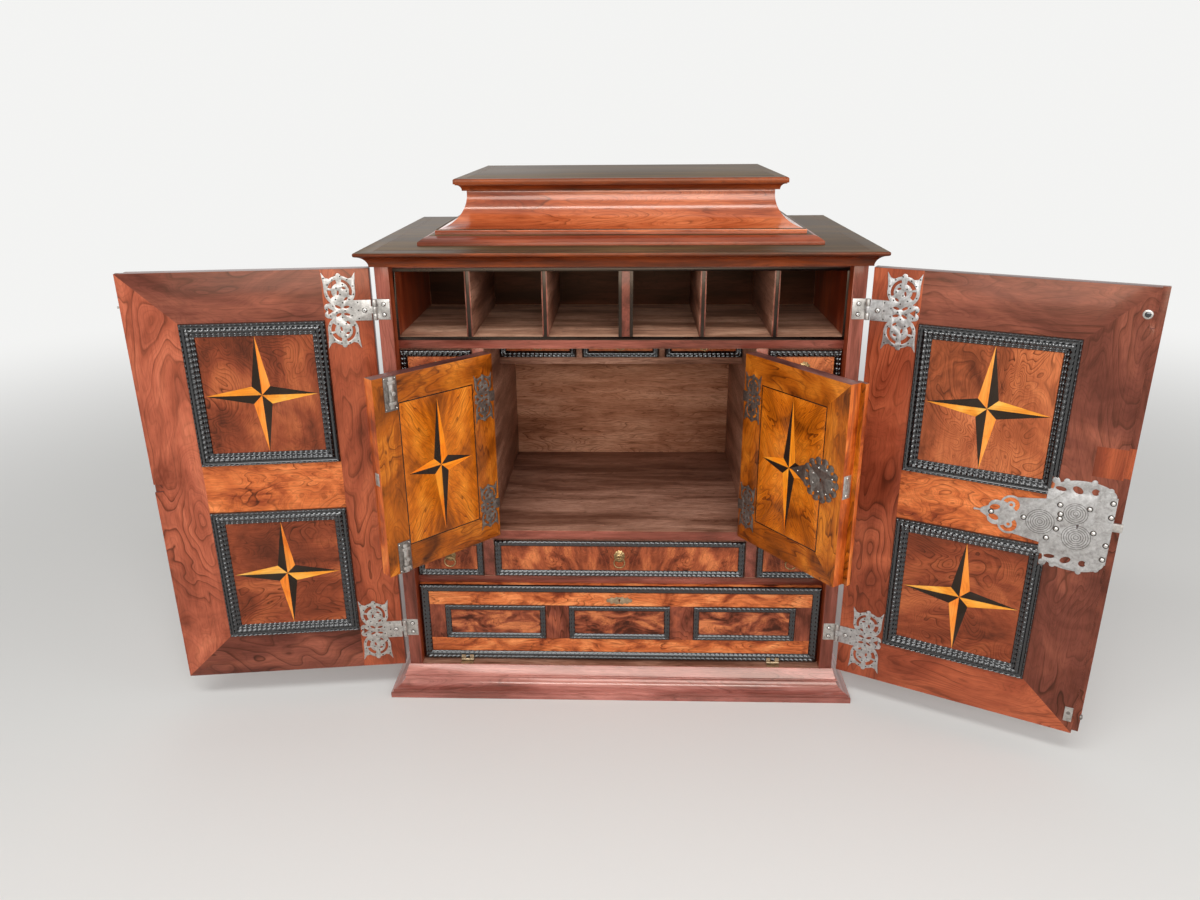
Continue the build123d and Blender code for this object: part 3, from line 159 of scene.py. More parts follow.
def new_finish(name):
    """A new material, its nodes, and the shader in them."""
    finish = bpy.data.materials.new(name)
    finish.use_nodes = True
    tree = finish.node_tree
    return finish, tree, tree.nodes["Principled BSDF"]


def clouds(tree, place, size, stretch=(1, 1, 1), detail=3.0, rough=0.5, twist=0.0):
    """Noise with lumps about size metres across, made longer along an axis by stretch."""
    scale = [1 / (size * s) for s in stretch]
    scaled = step(tree, "ShaderNodeMapping", {"Vector": place, "Scale": scale})
    lumps = step(tree, "ShaderNodeTexNoise", {"Vector": scaled.outputs[0], "Scale": 1.0, "Detail": detail,
                                              "Roughness": rough, "Distortion": twist})
    return lumps.outputs[0]


def ramp(tree, value, stops):
    """A ColorRamp whose stops are (position, colour). A plain number is a shade of grey."""
    node = step(tree, "ShaderNodeValToRGB", {"Fac": value})
    band = node.color_ramp
    while len(band.elements) < len(stops):
        band.elements.new(0.5)
    for element, (position, colour) in zip(band.elements, stops):
        element.position = position
        element.color = colour if isinstance(colour, tuple) else (colour, colour, colour, 1)
    return node.outputs["Color"]


def blend_colours(tree, amount, a, b, kind="MIX"):
    """Colour b over colour a, by an amount from 0 to 1."""
    node = step(tree, "ShaderNodeMix", data_type="RGBA", blend_type=kind)
    for slot, value in ((node.inputs[0], amount), (node.inputs[6], a), (node.inputs[7], b)):
        if isinstance(value, bpy.types.NodeSocket):
            tree.links.new(value, slot)
        else:
            slot.default_value = value
    return node.outputs[2]


def bumped(tree, shader, height, strength, distance):
    """Small relief that light sees, from a height socket."""
    bump = step(tree, "ShaderNodeBump", {"Height": height, "Strength": strength, "Distance": distance})
    tree.links.new(bump.outputs[0], shader.inputs["Normal"])


print("walnut red-brown in linear light:", [round(c, 3) for c in paint(150, 75, 45)])

# %% [markdown]
# Walnut shows three things at once: growth lines that run with the board and bend round knots,
# short dark pores, and broad clouds of lighter and darker wood. The lines here are the level
# lines of a stretched noise, which bend and close as real figure does. A growth line comes up
# slowly and ends at once, so its tone is a saw and not a wave. It also fades in places, and a
# second set of thinner lines lies between. The wood reads an attribute, "grain", whose x runs
# along the board, so that each board and each sheet of veneer has its own direction.

# %% A wood recipe
LINE_TONES = [(0.0, (0.5, 0.42, 0.38, 1)), (0.06, 1.0), (0.6, (0.94, 0.9, 0.87, 1)),
              (0.86, (0.62, 0.52, 0.46, 1)), (0.96, (0.2, 0.13, 0.1, 1))]
THIN_TONES = [(0.0, 0.78), (0.12, 1.0), (0.7, 0.96), (0.97, 0.46)]
FIBRE_TONES = [(0.36, (0.74, 0.7, 0.66, 1)), (0.62, 1.0)]
PORE_TONES = [(0.34, (0.3, 0.2, 0.15, 1)), (0.46, 1.0)]
THIN_LINES = 3.3
FIBRE_WEIGHT = 0.6
WARM_SHEEN = (1.0, 0.66, 0.42, 1.0)


def faded_depth(tree, place, cloud, most):
    """How strongly the growth lines show, which changes from place to place."""
    fade = clouds(tree, place, cloud * 0.9, (1.4, 1, 1), 1.5, 0.5, 0.5)
    return step(tree, "ShaderNodeMapRange", {"Value": fade, "From Min": 0.36, "From Max": 0.64,
                                             "To Min": 0.12, "To Max": most}).outputs[0]


def wood(name, dark, middle, light, lines, size, length, line_depth, cloud=0.09, twist=0.4, gloss=0.3,
         coat=0.1, pores=0.35, spread=0.13, fine=0.35, knots=2.0, flow=1.8):
    """lines: growth lines to a lump of figure. size, length: that lump, and how far it is drawn
    out. twist, knots: how it winds. cloud, spread, flow: the clouds' size, softness and length.
    line_depth, fine, pores: strengths of the lines, thin lines and pores. gloss is roughness."""
    finish, tree, shader = new_finish(name)
    place = step(tree, "ShaderNodeAttribute", attribute_name="grain").outputs["Vector"]
    figure = clouds(tree, place, size, (length, 1, 1), knots, 0.45, twist)
    strong = sums(tree, "FRACT", sums(tree, "MULTIPLY", figure, lines))
    thin = sums(tree, "FRACT", sums(tree, "MULTIPLY", figure, lines * THIN_LINES))
    tone = clouds(tree, place, cloud, (flow, 1, 1), 4.0, 0.6, 1.1 if flow < 4 else 0.3)
    fibre = clouds(tree, place, 0.0030, (40, 1, 1), 2.0, 0.6)
    pore = clouds(tree, place, 0.0011, (22, 1, 1), 2.0, 0.6)
    colour = ramp(tree, tone, [(0.5 - spread, paint(*dark)), (0.5, paint(*middle)),
                               (0.5 + spread, paint(*light))])
    for weight, value, tones in ((faded_depth(tree, place, cloud, line_depth), strong, LINE_TONES),
                                 (fine, thin, THIN_TONES), (FIBRE_WEIGHT, fibre, FIBRE_TONES),
                                 (pores, pore, PORE_TONES)):
        colour = blend_colours(tree, weight, colour, ramp(tree, value, tones), "MULTIPLY")
    tree.links.new(colour, shader.inputs["Base Color"])
    tree.links.new(sums(tree, "MULTIPLY_ADD", tone, 0.16, gloss - 0.06), shader.inputs["Roughness"])
    bumped(tree, shader, pore, 0.12, 0.0004)
    shader.inputs["Specular IOR Level"].default_value = 0.4
    shader.inputs["Specular Tint"].default_value = WARM_SHEEN
    shader.inputs["Coat Weight"].default_value = coat
    shader.inputs["Coat Roughness"].default_value = 0.14
    return finish


print("dark growth line multiplies by", LINE_TONES[-1][1][:3])

# %% [markdown]
# The cabinet has many woods. Straight boards carry the mouldings and the carcass. Bordered
# veneers are cut along the log, and burl from its root. Oak stays inside, where nobody looks,
# and the stars are black, orange and yellow. Woods of one kind share their settings, so each
# line below says only how one wood differs: three colours, the growth lines, and a few more.

# %% Walnut for boards and borders
STRAIGHT = dict(flow=7, cloud=0.04)
BORDER = dict(cloud=0.13, spread=0.22, knots=3.0)
WOODS = {}


def add_woods(rows):
    """Each row: name, dark, middle, light, (lines, size, length, line depth), more settings."""
    for name, dark, middle, light, figure, more in rows:
        WOODS[name] = wood(name, dark, middle, light, *figure, **more)


add_woods((
    ("red_walnut", (104, 38, 20), (142, 60, 34), (178, 86, 50), (30, 0.05, 9, 0.45),
     {**STRAIGHT, "cloud": 0.05, "spread": 0.18, "coat": 0.2}),
    ("moulding_walnut", (64, 20, 4), (110, 42, 12), (150, 66, 24), (24, 0.05, 10, 0.5),
     {**STRAIGHT, "coat": 0.12}),
    # the cove's bright orange is partly painted reflection of the light from above, over the walnut's own
    # colour
    ("cove_walnut", (150, 64, 34), (196, 98, 56), (224, 126, 80), (26, 0.07, 7, 0.6),
     {**STRAIGHT, "cloud": 0.05, "gloss": 0.22, "coat": 0.8}),
    # the plinth's pale pink is painted sheen: the wood under it is a browner red
    ("plinth_walnut", (136, 76, 66), (172, 102, 92), (202, 130, 118), (26, 0.05, 10, 0.5),
     {**STRAIGHT, "gloss": 0.22, "coat": 0.9}),
    # a pinkish copy of the walnut for front faces: its mauve tint is painted sheen
    ("front_walnut", (92, 42, 34), (132, 68, 56), (164, 92, 78), (26, 0.04, 10, 0.5),
     {**STRAIGHT, "coat": 0.2}),
    ("faded_walnut", (44, 30, 12), (66, 48, 24), (94, 74, 44), (26, 0.05, 8, 0.5),
     {**STRAIGHT, "cloud": 0.05, "gloss": 0.5, "coat": 0.0}),
    # a greyish mauve walnut for the level edges of the doors: painted sheen of the light from above
    ("mauve_walnut", (80, 46, 44), (108, 68, 66), (138, 94, 88), (20, 0.05, 9, 0.4), {}),
    ("edge_walnut", (150, 58, 14), (208, 98, 36), (238, 134, 62), (8, 0.03, 12, 0.6), {}),
    ("border_walnut", (110, 42, 26), (158, 74, 48), (202, 106, 70), (22, 0.13, 2.4, 0.85), BORDER),
    # the darker and lighter copies of the border walnut give some sheets painted shade and others painted
    # light, besides their own tone
    ("dark_border", (78, 32, 26), (118, 60, 48), (160, 90, 70), (22, 0.13, 2.6, 0.85), BORDER),
    ("light_border", (128, 56, 38), (184, 96, 70), (222, 128, 94), (22, 0.13, 2.4, 0.85), BORDER),
    ("middle_walnut", (146, 60, 30), (214, 112, 58), (246, 146, 84), (20, 0.08, 1.8, 0.95),
     dict(cloud=0.06, spread=0.16, fine=0.5, knots=3.5)),
    ("flap_walnut", (138, 56, 28), (222, 120, 66), (252, 158, 96), (22, 0.05, 4.0, 1.0),
     dict(cloud=0.045, spread=0.15, fine=0.5, knots=3.0)),
    ("flap_upright", (84, 34, 24), (142, 72, 54), (188, 102, 70), (20, 0.05, 3.6, 0.9), {}),
    ("gold_walnut", (88, 38, 2), (176, 90, 14), (222, 132, 38), (18, 0.07, 3.2, 0.95),
     dict(cloud=0.07, spread=0.2, fine=0.5, knots=3.0)),
))
print("board and border woods:", len(WOODS))

# %% Burl, oak and the woods of the stars
ROOT = dict(cloud=0.10, twist=1.9, spread=0.2, fine=0.5, knots=1.6)
OAK = dict(gloss=0.5, coat=0.0, pores=0.8, **STRAIGHT)
INLAY = dict(pores=0.15, fine=0.2)
add_woods((
    ("burl", (78, 28, 16), (144, 66, 40), (192, 104, 62), (22, 0.13, 1.2, 1.0), ROOT),
    # the lighter copy of the burl is the same burl in painted light
    ("light_burl", (98, 40, 20), (178, 92, 54), (222, 130, 80), (22, 0.13, 1.2, 1.0), ROOT),
    ("drawer_burl", (96, 34, 20), (172, 86, 52), (222, 130, 78), (20, 0.06, 1.2, 1.0),
     dict(cloud=0.05, twist=1.6, spread=0.15, fine=0.5, knots=3.0)),
    ("flap_burl", (66, 22, 14), (150, 74, 50), (216, 128, 80), (22, 0.045, 1.3, 1.0),
     dict(cloud=0.032, twist=1.8, spread=0.12, fine=0.5, knots=3.5)),
    ("gold_burl", (116, 52, 2), (210, 110, 14), (246, 150, 42), (24, 0.06, 4.0, 0.85),
     dict(cloud=0.07, twist=0.8, spread=0.22, fine=0.6, knots=3.0)),
    ("inside_oak", (116, 76, 60), (160, 116, 96), (190, 144, 122), (24, 0.04, 9, 0.6), OAK),
    # a paler oak for the floors of the pigeonholes: painted light where the lamps reach them
    ("pale_oak", (150, 112, 90), (198, 152, 126), (226, 184, 156), (24, 0.04, 9, 0.6), OAK),
    ("back_oak", (140, 88, 62), (182, 124, 94), (208, 152, 120), (24, 0.05, 5.0, 0.7),
     {**OAK, "cloud": 0.05}),
    # a nearly black oak for the backs of the pigeonholes: painted shade where little light reaches
    ("deep_oak", (40, 18, 10), (64, 32, 20), (88, 48, 32), (20, 0.04, 6, 0.5),
     dict(gloss=0.5, coat=0.0, **STRAIGHT)),
    ("ebony", (13, 12, 13), (22, 20, 20), (34, 30, 29), (5, 0.05, 9, 0.3), dict(gloss=0.26)),
    ("orange_inlay", (238, 122, 34), (255, 150, 54), (255, 168, 76), (5, 0.03, 9, 0.25), INLAY),
    ("yellow_inlay", (240, 144, 38), (255, 174, 64), (255, 192, 94), (5, 0.03, 9, 0.25), INLAY),
    ("gold_inlay", (240, 116, 8), (255, 142, 20), (255, 162, 44), (5, 0.03, 9, 0.25), INLAY),
))
print("woods:", len(WOODS))

# %% [markdown]
# The hinges and locks are bright iron, filed and engraved, with a little dark wear in the low
# places. The rings and the flap's fittings are brass. A metal takes its look from what it
# reflects, so its roughness and its bump matter more than its colour. The lock plate is engraved
# with rings round its bosses: the distance from each centre, cut into thin steps, gives them.

# %% Metals
RING_STEP, RING_LINE, RING_WEIGHT = 0.0019, 0.0006, 0.75
RING_COLOUR = paint(88, 85, 82)
LOCK_RINGS = ((0.330, 0.475, 0.024), (0.383, 0.501, 0.021), (0.390, 0.457, 0.026))


def engraved(tree, rings):
    """1 on the engraved lines and 0 between. Each ring is (across the door, up, reach)."""
    flat = step(tree, "ShaderNodeAttribute", attribute_name="grain").outputs["Vector"]
    lines = []
    for across, up, reach in rings:
        away = step(tree, "ShaderNodeVectorMath", {0: flat, 1: (across, up, 0.0)}, operation="DISTANCE")
        away = away.outputs["Value"]
        on_line = sums(tree, "LESS_THAN", sums(tree, "PINGPONG", away, RING_STEP), RING_LINE)
        lines.append(sums(tree, "MULTIPLY", on_line, sums(tree, "LESS_THAN", away, reach)))
    return lines


def metal(name, dark, light, roughness, scratch, grain_size=0.004, rings=()):
    """Stained metal: dark in its low places, light where it is rubbed, with fine scratches."""
    finish, tree, shader = new_finish(name)
    place = step(tree, "ShaderNodeTexCoord").outputs["Object"]
    stain = clouds(tree, place, grain_size * 2.5, (1, 1, 1), 5.0, 0.65, 0.5)
    colour = ramp(tree, stain, [(0.28, paint(*dark)), (0.66, paint(*light))])
    height = clouds(tree, place, grain_size * 0.3, (1, 1, 1), 4.0, 0.7)
    for line in engraved(tree, rings) if rings else ():
        colour = blend_colours(tree, sums(tree, "MULTIPLY", line, RING_WEIGHT), colour, RING_COLOUR)
        height = sums(tree, "SUBTRACT", height, sums(tree, "MULTIPLY", line, 0.5))
    tree.links.new(colour, shader.inputs["Base Color"])
    tree.links.new(sums(tree, "MULTIPLY_ADD", stain, -0.3, roughness + 0.15), shader.inputs["Roughness"])
    bumped(tree, shader, height, scratch, 0.0003)
    shader.inputs["Metallic"].default_value = 0.85
    return finish


METALS = {name: metal(name, *row) for name, *row in (
    ("bright_iron", (142, 137, 131), (198, 193, 187), 0.4, 0.14, 0.0028),
    ("lock_iron", (144, 140, 137), (196, 194, 192), 0.38, 0.3, 0.0028, LOCK_RINGS),
    ("dark_iron", (86, 81, 76), (138, 131, 125), 0.36, 0.3, 0.003),
    ("nail_iron", (44, 40, 37), (84, 78, 72), 0.45, 0.2, 0.003),
    ("stud_iron", (176, 172, 166), (230, 227, 222), 0.2, 0.12, 0.003),
    ("old_brass", (104, 82, 52), (186, 156, 110), 0.28, 0.25),
    ("pale_brass", (120, 102, 80), (182, 160, 130), 0.4, 0.25),
)}
FINISH = {**WOODS, **METALS}
print("metals:", len(METALS))

# %% [markdown]
# The black mouldings are a hard, close wood, stained and polished until it shines like a
# shell. It has no visible pores, only a faint streak. Under a clear coat that mirrors more than
# plain lacquer, each bead draws a thin bright line.

# %% Black moulding wood
black, tree, shader = new_finish("black_moulding")
place = step(tree, "ShaderNodeTexCoord").outputs["Object"]
streak = clouds(tree, place, 0.006, (3, 3, 1), 4.0, 0.6)
colour = ramp(tree, streak, [(0.35, paint(1, 1, 2)), (0.7, paint(9, 9, 12))])
tree.links.new(colour, shader.inputs["Base Color"])
tree.links.new(sums(tree, "MULTIPLY_ADD", streak, 0.2, 0.10), shader.inputs["Roughness"])
for socket, value in (("Specular IOR Level", 0.2), ("Coat Weight", 1.0), ("Coat IOR", 1.65),
                      ("Coat Roughness", 0.12)):
    shader.inputs[socket].default_value = value
FINISH["black_moulding"] = black
print("finishes:", len(FINISH))

# %% [markdown]
# The frame's meshes are loose triangles. To dress a board, its copy is joined up and its flat
# faces are made whole. Many boards may lie in one mesh, so a walk from face to face finds each
# board, and its longest side tells which way its grain runs.

# %% Join a solid's triangles
MERGE = 0.00002
FLAT = radians(0.5)


def joined_copy(node):
    """The solid's mesh with its triangles joined, shut if it is a door's."""
    work = bmesh.new()
    work.from_mesh(frame["nodes"][node].data)
    bmesh.ops.transform(work, matrix=opened(body_of(node)).inverted(), verts=work.verts)
    bmesh.ops.remove_doubles(work, verts=work.verts, dist=MERGE)
    bmesh.ops.dissolve_limit(work, angle_limit=FLAT, verts=work.verts, edges=work.edges)
    return work


def mesh_from(work, name):
    """The finished mesh of a bmesh, which is then let go."""
    mesh = bpy.data.meshes.new(name)
    work.to_mesh(mesh)
    work.free()
    return mesh


def islands(work):
    """The separate boards of a mesh, each a list of faces."""
    left = set(work.faces)
    found = []
    for start in work.faces:
        if start not in left:
            continue
        left.remove(start)
        group = []
        queue = [start]
        while queue:
            face = queue.pop()
            group.append(face)
            for edge in face.edges:
                for other in edge.link_faces:
                    if other in left:
                        left.remove(other)
                        queue.append(other)
        found.append(group)
    def corner(group):
        points = [v.co for f in group for v in f.verts]
        return tuple(round(min(p[i] for p in points), 4) for i in (0, 2, 1))

    return sorted(found, key=corner)


def long_axis(faces):
    """0, 1 or 2: the axis along which a board is longest."""
    points = [v.co for f in faces for v in f.verts]
    spans = [max(p[i] for p in points) - min(p[i] for p in points) for i in range(3)]
    return spans.index(max(spans))


print("boards in the carcass sides:", len(islands(joined_copy("carcass_sides"))))

# %% [markdown]
# Veneer is sawn from a log in leaves, and two neighbouring leaves laid open like a book mirror
# each other. So grain is a place in one endless log: every board gets its own part of it, and
# matched sheets share a part and are mirrored about the line where they meet.

# %% Lay the grain
LOG_STEP = (0.731, 0.417, 0.293)
SHEET_STEP = (0.631, 0.517, 0.193)


def along(axis, number, mirror=None):
    """Grain along an axis; each number gives another part of the log. mirror book-matches."""
    order = [axis] + [i for i in range(3) if i != axis]
    shift = Vector([s * number for s in LOG_STEP])

    def place(point):
        if mirror:
            point = Vector([abs(p - m) if m is not None else p for p, m in zip(point, mirror)])
        return Vector([point[i] for i in order]) + shift

    return place


def matched(x, z, tilt, number):
    """Matched sheets that meet at (x, z), their grain tilted from upright by so many degrees."""
    shift = Vector([s * number for s in SHEET_STEP])
    c, s = cos(radians(tilt)), sin(radians(tilt))

    def place(point):
        a = abs(point.x - x)
        b = abs(point.z - z)
        return Vector((b * c + a * s, a * c - b * s, point.y)) + shift

    return place


print("one point in the log:", [round(v, 3) for v in along(2, 1)(Vector((0, 0, 0.1)))])

# %% [markdown]
# To dress a solid, its copy is cut into sheets where veneers meet, each face gets its wood and
# its place in the log, and the sharp edges are softened by a fraction of a millimetre, as a
# scraper leaves them. The copy then stands for the solid, which stays for the simulation.

# %% Dress a solid
SHARP = radians(35)
ON_PLANE = 0.00001


def lay_sheets(work, sheet, node, rule, axis):
    """Gives each face a wood and a sheet, and returns how the grain of each sheet lies."""
    places = []
    for board, faces in enumerate(islands(work)):
        run = long_axis(faces) if axis is None else axis
        known = {}
        for face in faces:
            finish, grain, key = 0, None, 0
            if rule:
                finish, grain, key = rule(face.calc_center_median(), face.normal, board, run)
            if key not in known:
                known[key] = len(places)
                places.append(grain or along(run, len(places) * 3 + len(node)))
            face.material_index = finish
            face[sheet] = known[key]
    return places


def soften_edges(work, edges, width):
    """A small round of two steps along the edges."""
    bmesh.ops.bevel(work, geom=edges, offset=width, segments=2, profile=0.5, affect="EDGES",
                    clamp_overlap=True)


def finished(mesh, body, stands_for=(), smooth=32):
    """Puts a mesh in the scene at the origin, on its body, in place of its solids."""
    mesh.shade_smooth()
    mesh.set_sharp_from_angle(angle=radians(smooth))
    piece = bpy.data.objects.new(mesh.name, mesh)
    bpy.context.scene.collection.objects.link(piece)
    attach(piece, body)
    if stands_for:
        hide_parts(*stands_for)
    return piece


def dress(node, finishes, rule=None, cuts=(), soften=0.0006, axis=None, drop=None, ease=None):
    """A dressed copy of one solid. rule(centre, normal, board, axis) gives (wood, grain, sheet),
    cuts are planes between sheets, drop finds faces to leave out, and ease moves points."""
    work = joined_copy(node)
    for vert in work.verts if ease else ():
        vert.co = ease(vert.co)
    if drop:
        lost = [f for f in work.faces if drop(f.calc_center_median(), f.normal)]
        bmesh.ops.delete(work, geom=lost, context="FACES")
    for point, normal in cuts:
        every = work.verts[:] + work.edges[:] + work.faces[:]
        bmesh.ops.bisect_plane(work, geom=every, dist=ON_PLANE, plane_co=point, plane_no=normal)
    sheet = work.faces.layers.int.new("sheet")
    places = lay_sheets(work, sheet, node, rule, axis)
    if soften:
        sharp = [e for e in work.edges if len(e.link_faces) == 2 and e.calc_face_angle() > SHARP]
        soften_edges(work, sharp, soften)
    grain_layer = work.loops.layers.float_vector.new("grain")
    for face in work.faces:
        place = places[face[sheet]]
        for loop in face.loops:
            loop[grain_layer] = place(loop.vert.co)
    bmesh.ops.transform(work, matrix=opened(body_of(node)), verts=work.verts)
    mesh = mesh_from(work, node + "_made")
    for finish in finishes:
        mesh.materials.append(FINISH[finish])
    return finished(mesh, body_of(node), [node])


print("edges softened above", round(SHARP, 3), "radians")

# %% [markdown]
# The black frames are ripple mouldings. A maker drew a strip of hard wood under a cutter that
# rode up and down on a wavy pattern, so the members of the section all carry the same waves.
# Placing each wave by hand would be endless, and a bump map would lose the beads at the edge.
# One Geometry Nodes tree takes the sizes of a frame and gives its four mitred strips. Three
# curves hold the section: how far across the strip, how high, and how strongly it ripples.

# %% Sections of the mouldings
DOOR_SECTION = [(0, 0, 0), (.02, .42, 0), (.05, .74, .7), (.11, .92, 1), (.17, .76, .7),
                (.19, .52, 0), (.27, .40, 0), (.34, .42, 0), (.36, .52, .3), (.43, .84, 1),
                (.52, 1, 1), (.61, .88, 1), (.68, .66, .8), (.70, .48, 0), (.72, .50, .4),
                (.77, .60, .9), (.83, .48, .8), (.86, .30, 0), (.88, .32, .4), (.93, .34, .8),
                (.97, .18, .5), (1, 0, 0)]
THIN_SECTION = [(0, 0, 0), (.04, .50, 0), (.11, .80, .7), (.25, 1, .9), (.42, .90, .8),
                (.48, .70, .1), (.55, .72, .7), (.70, .70, .9), (.84, .48, .7), (.96, .22, .2),
                (1, 0, 0)]


def section_curve(tree, t, values):
    """A Float Curve through the values, straight from each to the next."""
    node = step(tree, "ShaderNodeFloatCurve", {"Value": t})
    points = node.mapping.curves[0].points
    last = len(values) - 1
    points[0].location = (0, values[0])
    points[1].location = (1, values[-1])
    for k in range(1, last):
        points.new(k / last, values[k])
    for point in points:
        point.handle_type = "VECTOR"
    node.mapping.update()
    return node.outputs[0]


print("points in a section:", len(DOOR_SECTION), "and", len(THIN_SECTION))

# %% [markdown]
# The tree starts from four flat grids, one for each side of the frame. It moves each grid's
# points: along the strip, shorter on the inner side so that the ends meet in mitres, across it,
# and up by the section and its wave. Each side has a whole number of waves, so that the waves
# meet at the corners too. A flat strip below closes the moulding.

# %% The ripple frame tree
SIZES = ("Width", "Height", "Bar", "Rise", "Ripple", "Pitch")
COLUMNS_PER_WAVE = 8.0
SEAM = 0.0002


def ripple_tree(name, section):
    """A tree for the four mitred strips of a frame, whose middle is at the origin."""
    tree = bpy.data.node_groups.new(name, "GeometryNodeTree")
    tree.interface.new_socket("Moulding", in_out="OUTPUT", socket_type="NodeSocketGeometry")
    for label in SIZES:
        tree.interface.new_socket(label, in_out="INPUT", socket_type="NodeSocketFloat")
    tree.interface.new_socket("Finish", in_out="INPUT", socket_type="NodeSocketMaterial")
    given = step(tree, "NodeGroupInput").outputs
    joined = step(tree, "GeometryNodeJoinGeometry")
    position = step(tree, "GeometryNodeInputPosition").outputs[0]
    x, y, _ = step(tree, "ShaderNodeSeparateXYZ", {0: position}).outputs
    t = sums(tree, "ADD", y, 0.5)
    across, rise, bead = [
        sums(tree, "MULTIPLY", section_curve(tree, t, [p[k] for p in section]), given[label])
        for k, label in enumerate(("Bar", "Rise", "Ripple"))]
    for side in range(4):
        length, width = given["Width"], given["Height"]
        if side % 2:
            length, width = width, length
        waves = sums(tree, "ROUND", sums(tree, "DIVIDE", length, given["Pitch"]))
        inner = sums(tree, "SUBTRACT", length, sums(tree, "MULTIPLY", across, 2.0))
        run = sums(tree, "MULTIPLY", x, sums(tree, "DIVIDE", inner, length))
        from_end = sums(tree, "SUBTRACT", sums(tree, "MULTIPLY", length, 0.5), sums(tree, "ABSOLUTE", run))
        turns = sums(tree, "MULTIPLY", sums(tree, "DIVIDE", from_end, length), waves)
        wave = sums(tree, "MULTIPLY", sums(tree, "COSINE", sums(tree, "MULTIPLY", turns, 2 * pi)), bead)
        drop = sums(tree, "SUBTRACT", across, sums(tree, "MULTIPLY", width, 0.5))
        columns = sums(tree, "MULTIPLY_ADD", waves, COLUMNS_PER_WAVE, 1.0)
        for rows, height in ((len(section), sums(tree, "ADD", rise, wave)), (2, 0.0)):
            grid = step(tree, "GeometryNodeMeshGrid", {"Size X": length, "Size Y": 1.0, "Vertices X": columns,
                                                       "Vertices Y": rows}).outputs[0]
            spot = step(tree, "ShaderNodeCombineXYZ", {0: run, 1: drop, 2: height}).outputs[0]
            strip = step(tree, "GeometryNodeSetPosition", {"Geometry": grid, "Position": spot}).outputs[0]
            if rows == 2:
                strip = step(tree, "GeometryNodeFlipFaces", {"Mesh": strip}).outputs[0]
            turned = step(tree, "GeometryNodeTransform", {"Geometry": strip,
                                                          "Rotation": (0, 0, side * pi / 2)})
            tree.links.new(turned.outputs[0], joined.inputs[0])
    merged = step(tree, "GeometryNodeMergeByDistance", {"Geometry": joined.outputs[0], "Distance": SEAM})
    real = step(tree, "GeometryNodeRealizeInstances", {"Geometry": merged.outputs[0]})
    done = step(tree, "GeometryNodeSetMaterial", {"Geometry": real.outputs[0], "Material": given["Finish"]})
    step(tree, "NodeGroupOutput", {0: done.outputs[0]})
    return tree


DOOR_RIPPLE = ripple_tree("door_ripple_frame", DOOR_SECTION)
THIN_RIPPLE = ripple_tree("thin_ripple_frame", THIN_SECTION)
print("ripple trees:", len(DOOR_RIPPLE.nodes), "and", len(THIN_RIPPLE.nodes), "nodes")

# %% [markdown]
# A tree makes nothing until an object carries it. A spare object holds it for a moment, gets
# the sizes, and is evaluated. The result is kept as a plain mesh, and the spare object goes.

# %% Run a tree
def made_by(tree, start=None, **values):
    """The plain mesh that a Geometry Nodes tree gives for these inputs."""
    holder = bpy.data.objects.new("maker", start or bpy.data.meshes.new("maker"))
    bpy.context.scene.collection.objects.link(holder)
    modifier = holder.modifiers.new("steps", "NODES")
    modifier.node_group = tree
    for item in tree.interface.items_tree:
        if item.item_type == "SOCKET" and item.in_out == "INPUT" and item.name in values:
            modifier[item.identifier] = values[item.name]
    graph = bpy.context.evaluated_depsgraph_get()
    mesh = bpy.data.meshes.new_from_object(holder.evaluated_get(graph), depsgraph=graph)
    bpy.data.objects.remove(holder)
    return mesh


def block(low, high, work=None):
    """A box between two corners, in a bmesh of its own or added to one."""
    if work is None:
        work = bmesh.new()
    size = Matrix.Diagonal((*(high - low), 1))
    bmesh.ops.create_cube(work, size=1, matrix=Matrix.Translation((low + high) / 2) @ size)
    return work


def notched(mesh, boxes):
    """The mesh with boxes cut out of it."""
    holder = bpy.data.objects.new("maker", mesh)
    bpy.context.scene.collection.objects.link(holder)
    cutters = []
    for low, high in boxes:
        cutter = bpy.data.objects.new("cutter", mesh_from(block(Vector(low), Vector(high)), "cutter"))
        bpy.context.scene.collection.objects.link(cutter)
        modifier = holder.modifiers.new("notch", "BOOLEAN")
        modifier.object = cutter
        modifier.operation = "DIFFERENCE"
        modifier.solver = "EXACT"
        cutters.append(cutter)
    graph = bpy.context.evaluated_depsgraph_get()
    cut = bpy.data.meshes.new_from_object(holder.evaluated_get(graph), depsgraph=graph)
    for spare in [holder, *cutters]:
        bpy.data.objects.remove(spare)
    return cut


print("inputs of a frame:", [item.name for item in DOOR_RIPPLE.interface.items_tree])

# %% [markdown]
# One frame is one run of the tree, turned to stand upright. Frames on the front of the cabinet
# face the viewer, and those inside the doors face the other way while the door is shut. All
# frames of one body become one mesh.

# %% Set ripple frames
FACING_OUT = Matrix.Rotation(radians(90), 4, "X")
FACING_IN = Matrix.Rotation(radians(180), 4, "Z") @ FACING_OUT
WIDE_BAR = 0.02
DOOR_WAVE, THIN_WAVE = 0.0009, 0.0006
PITCH = 0.0098


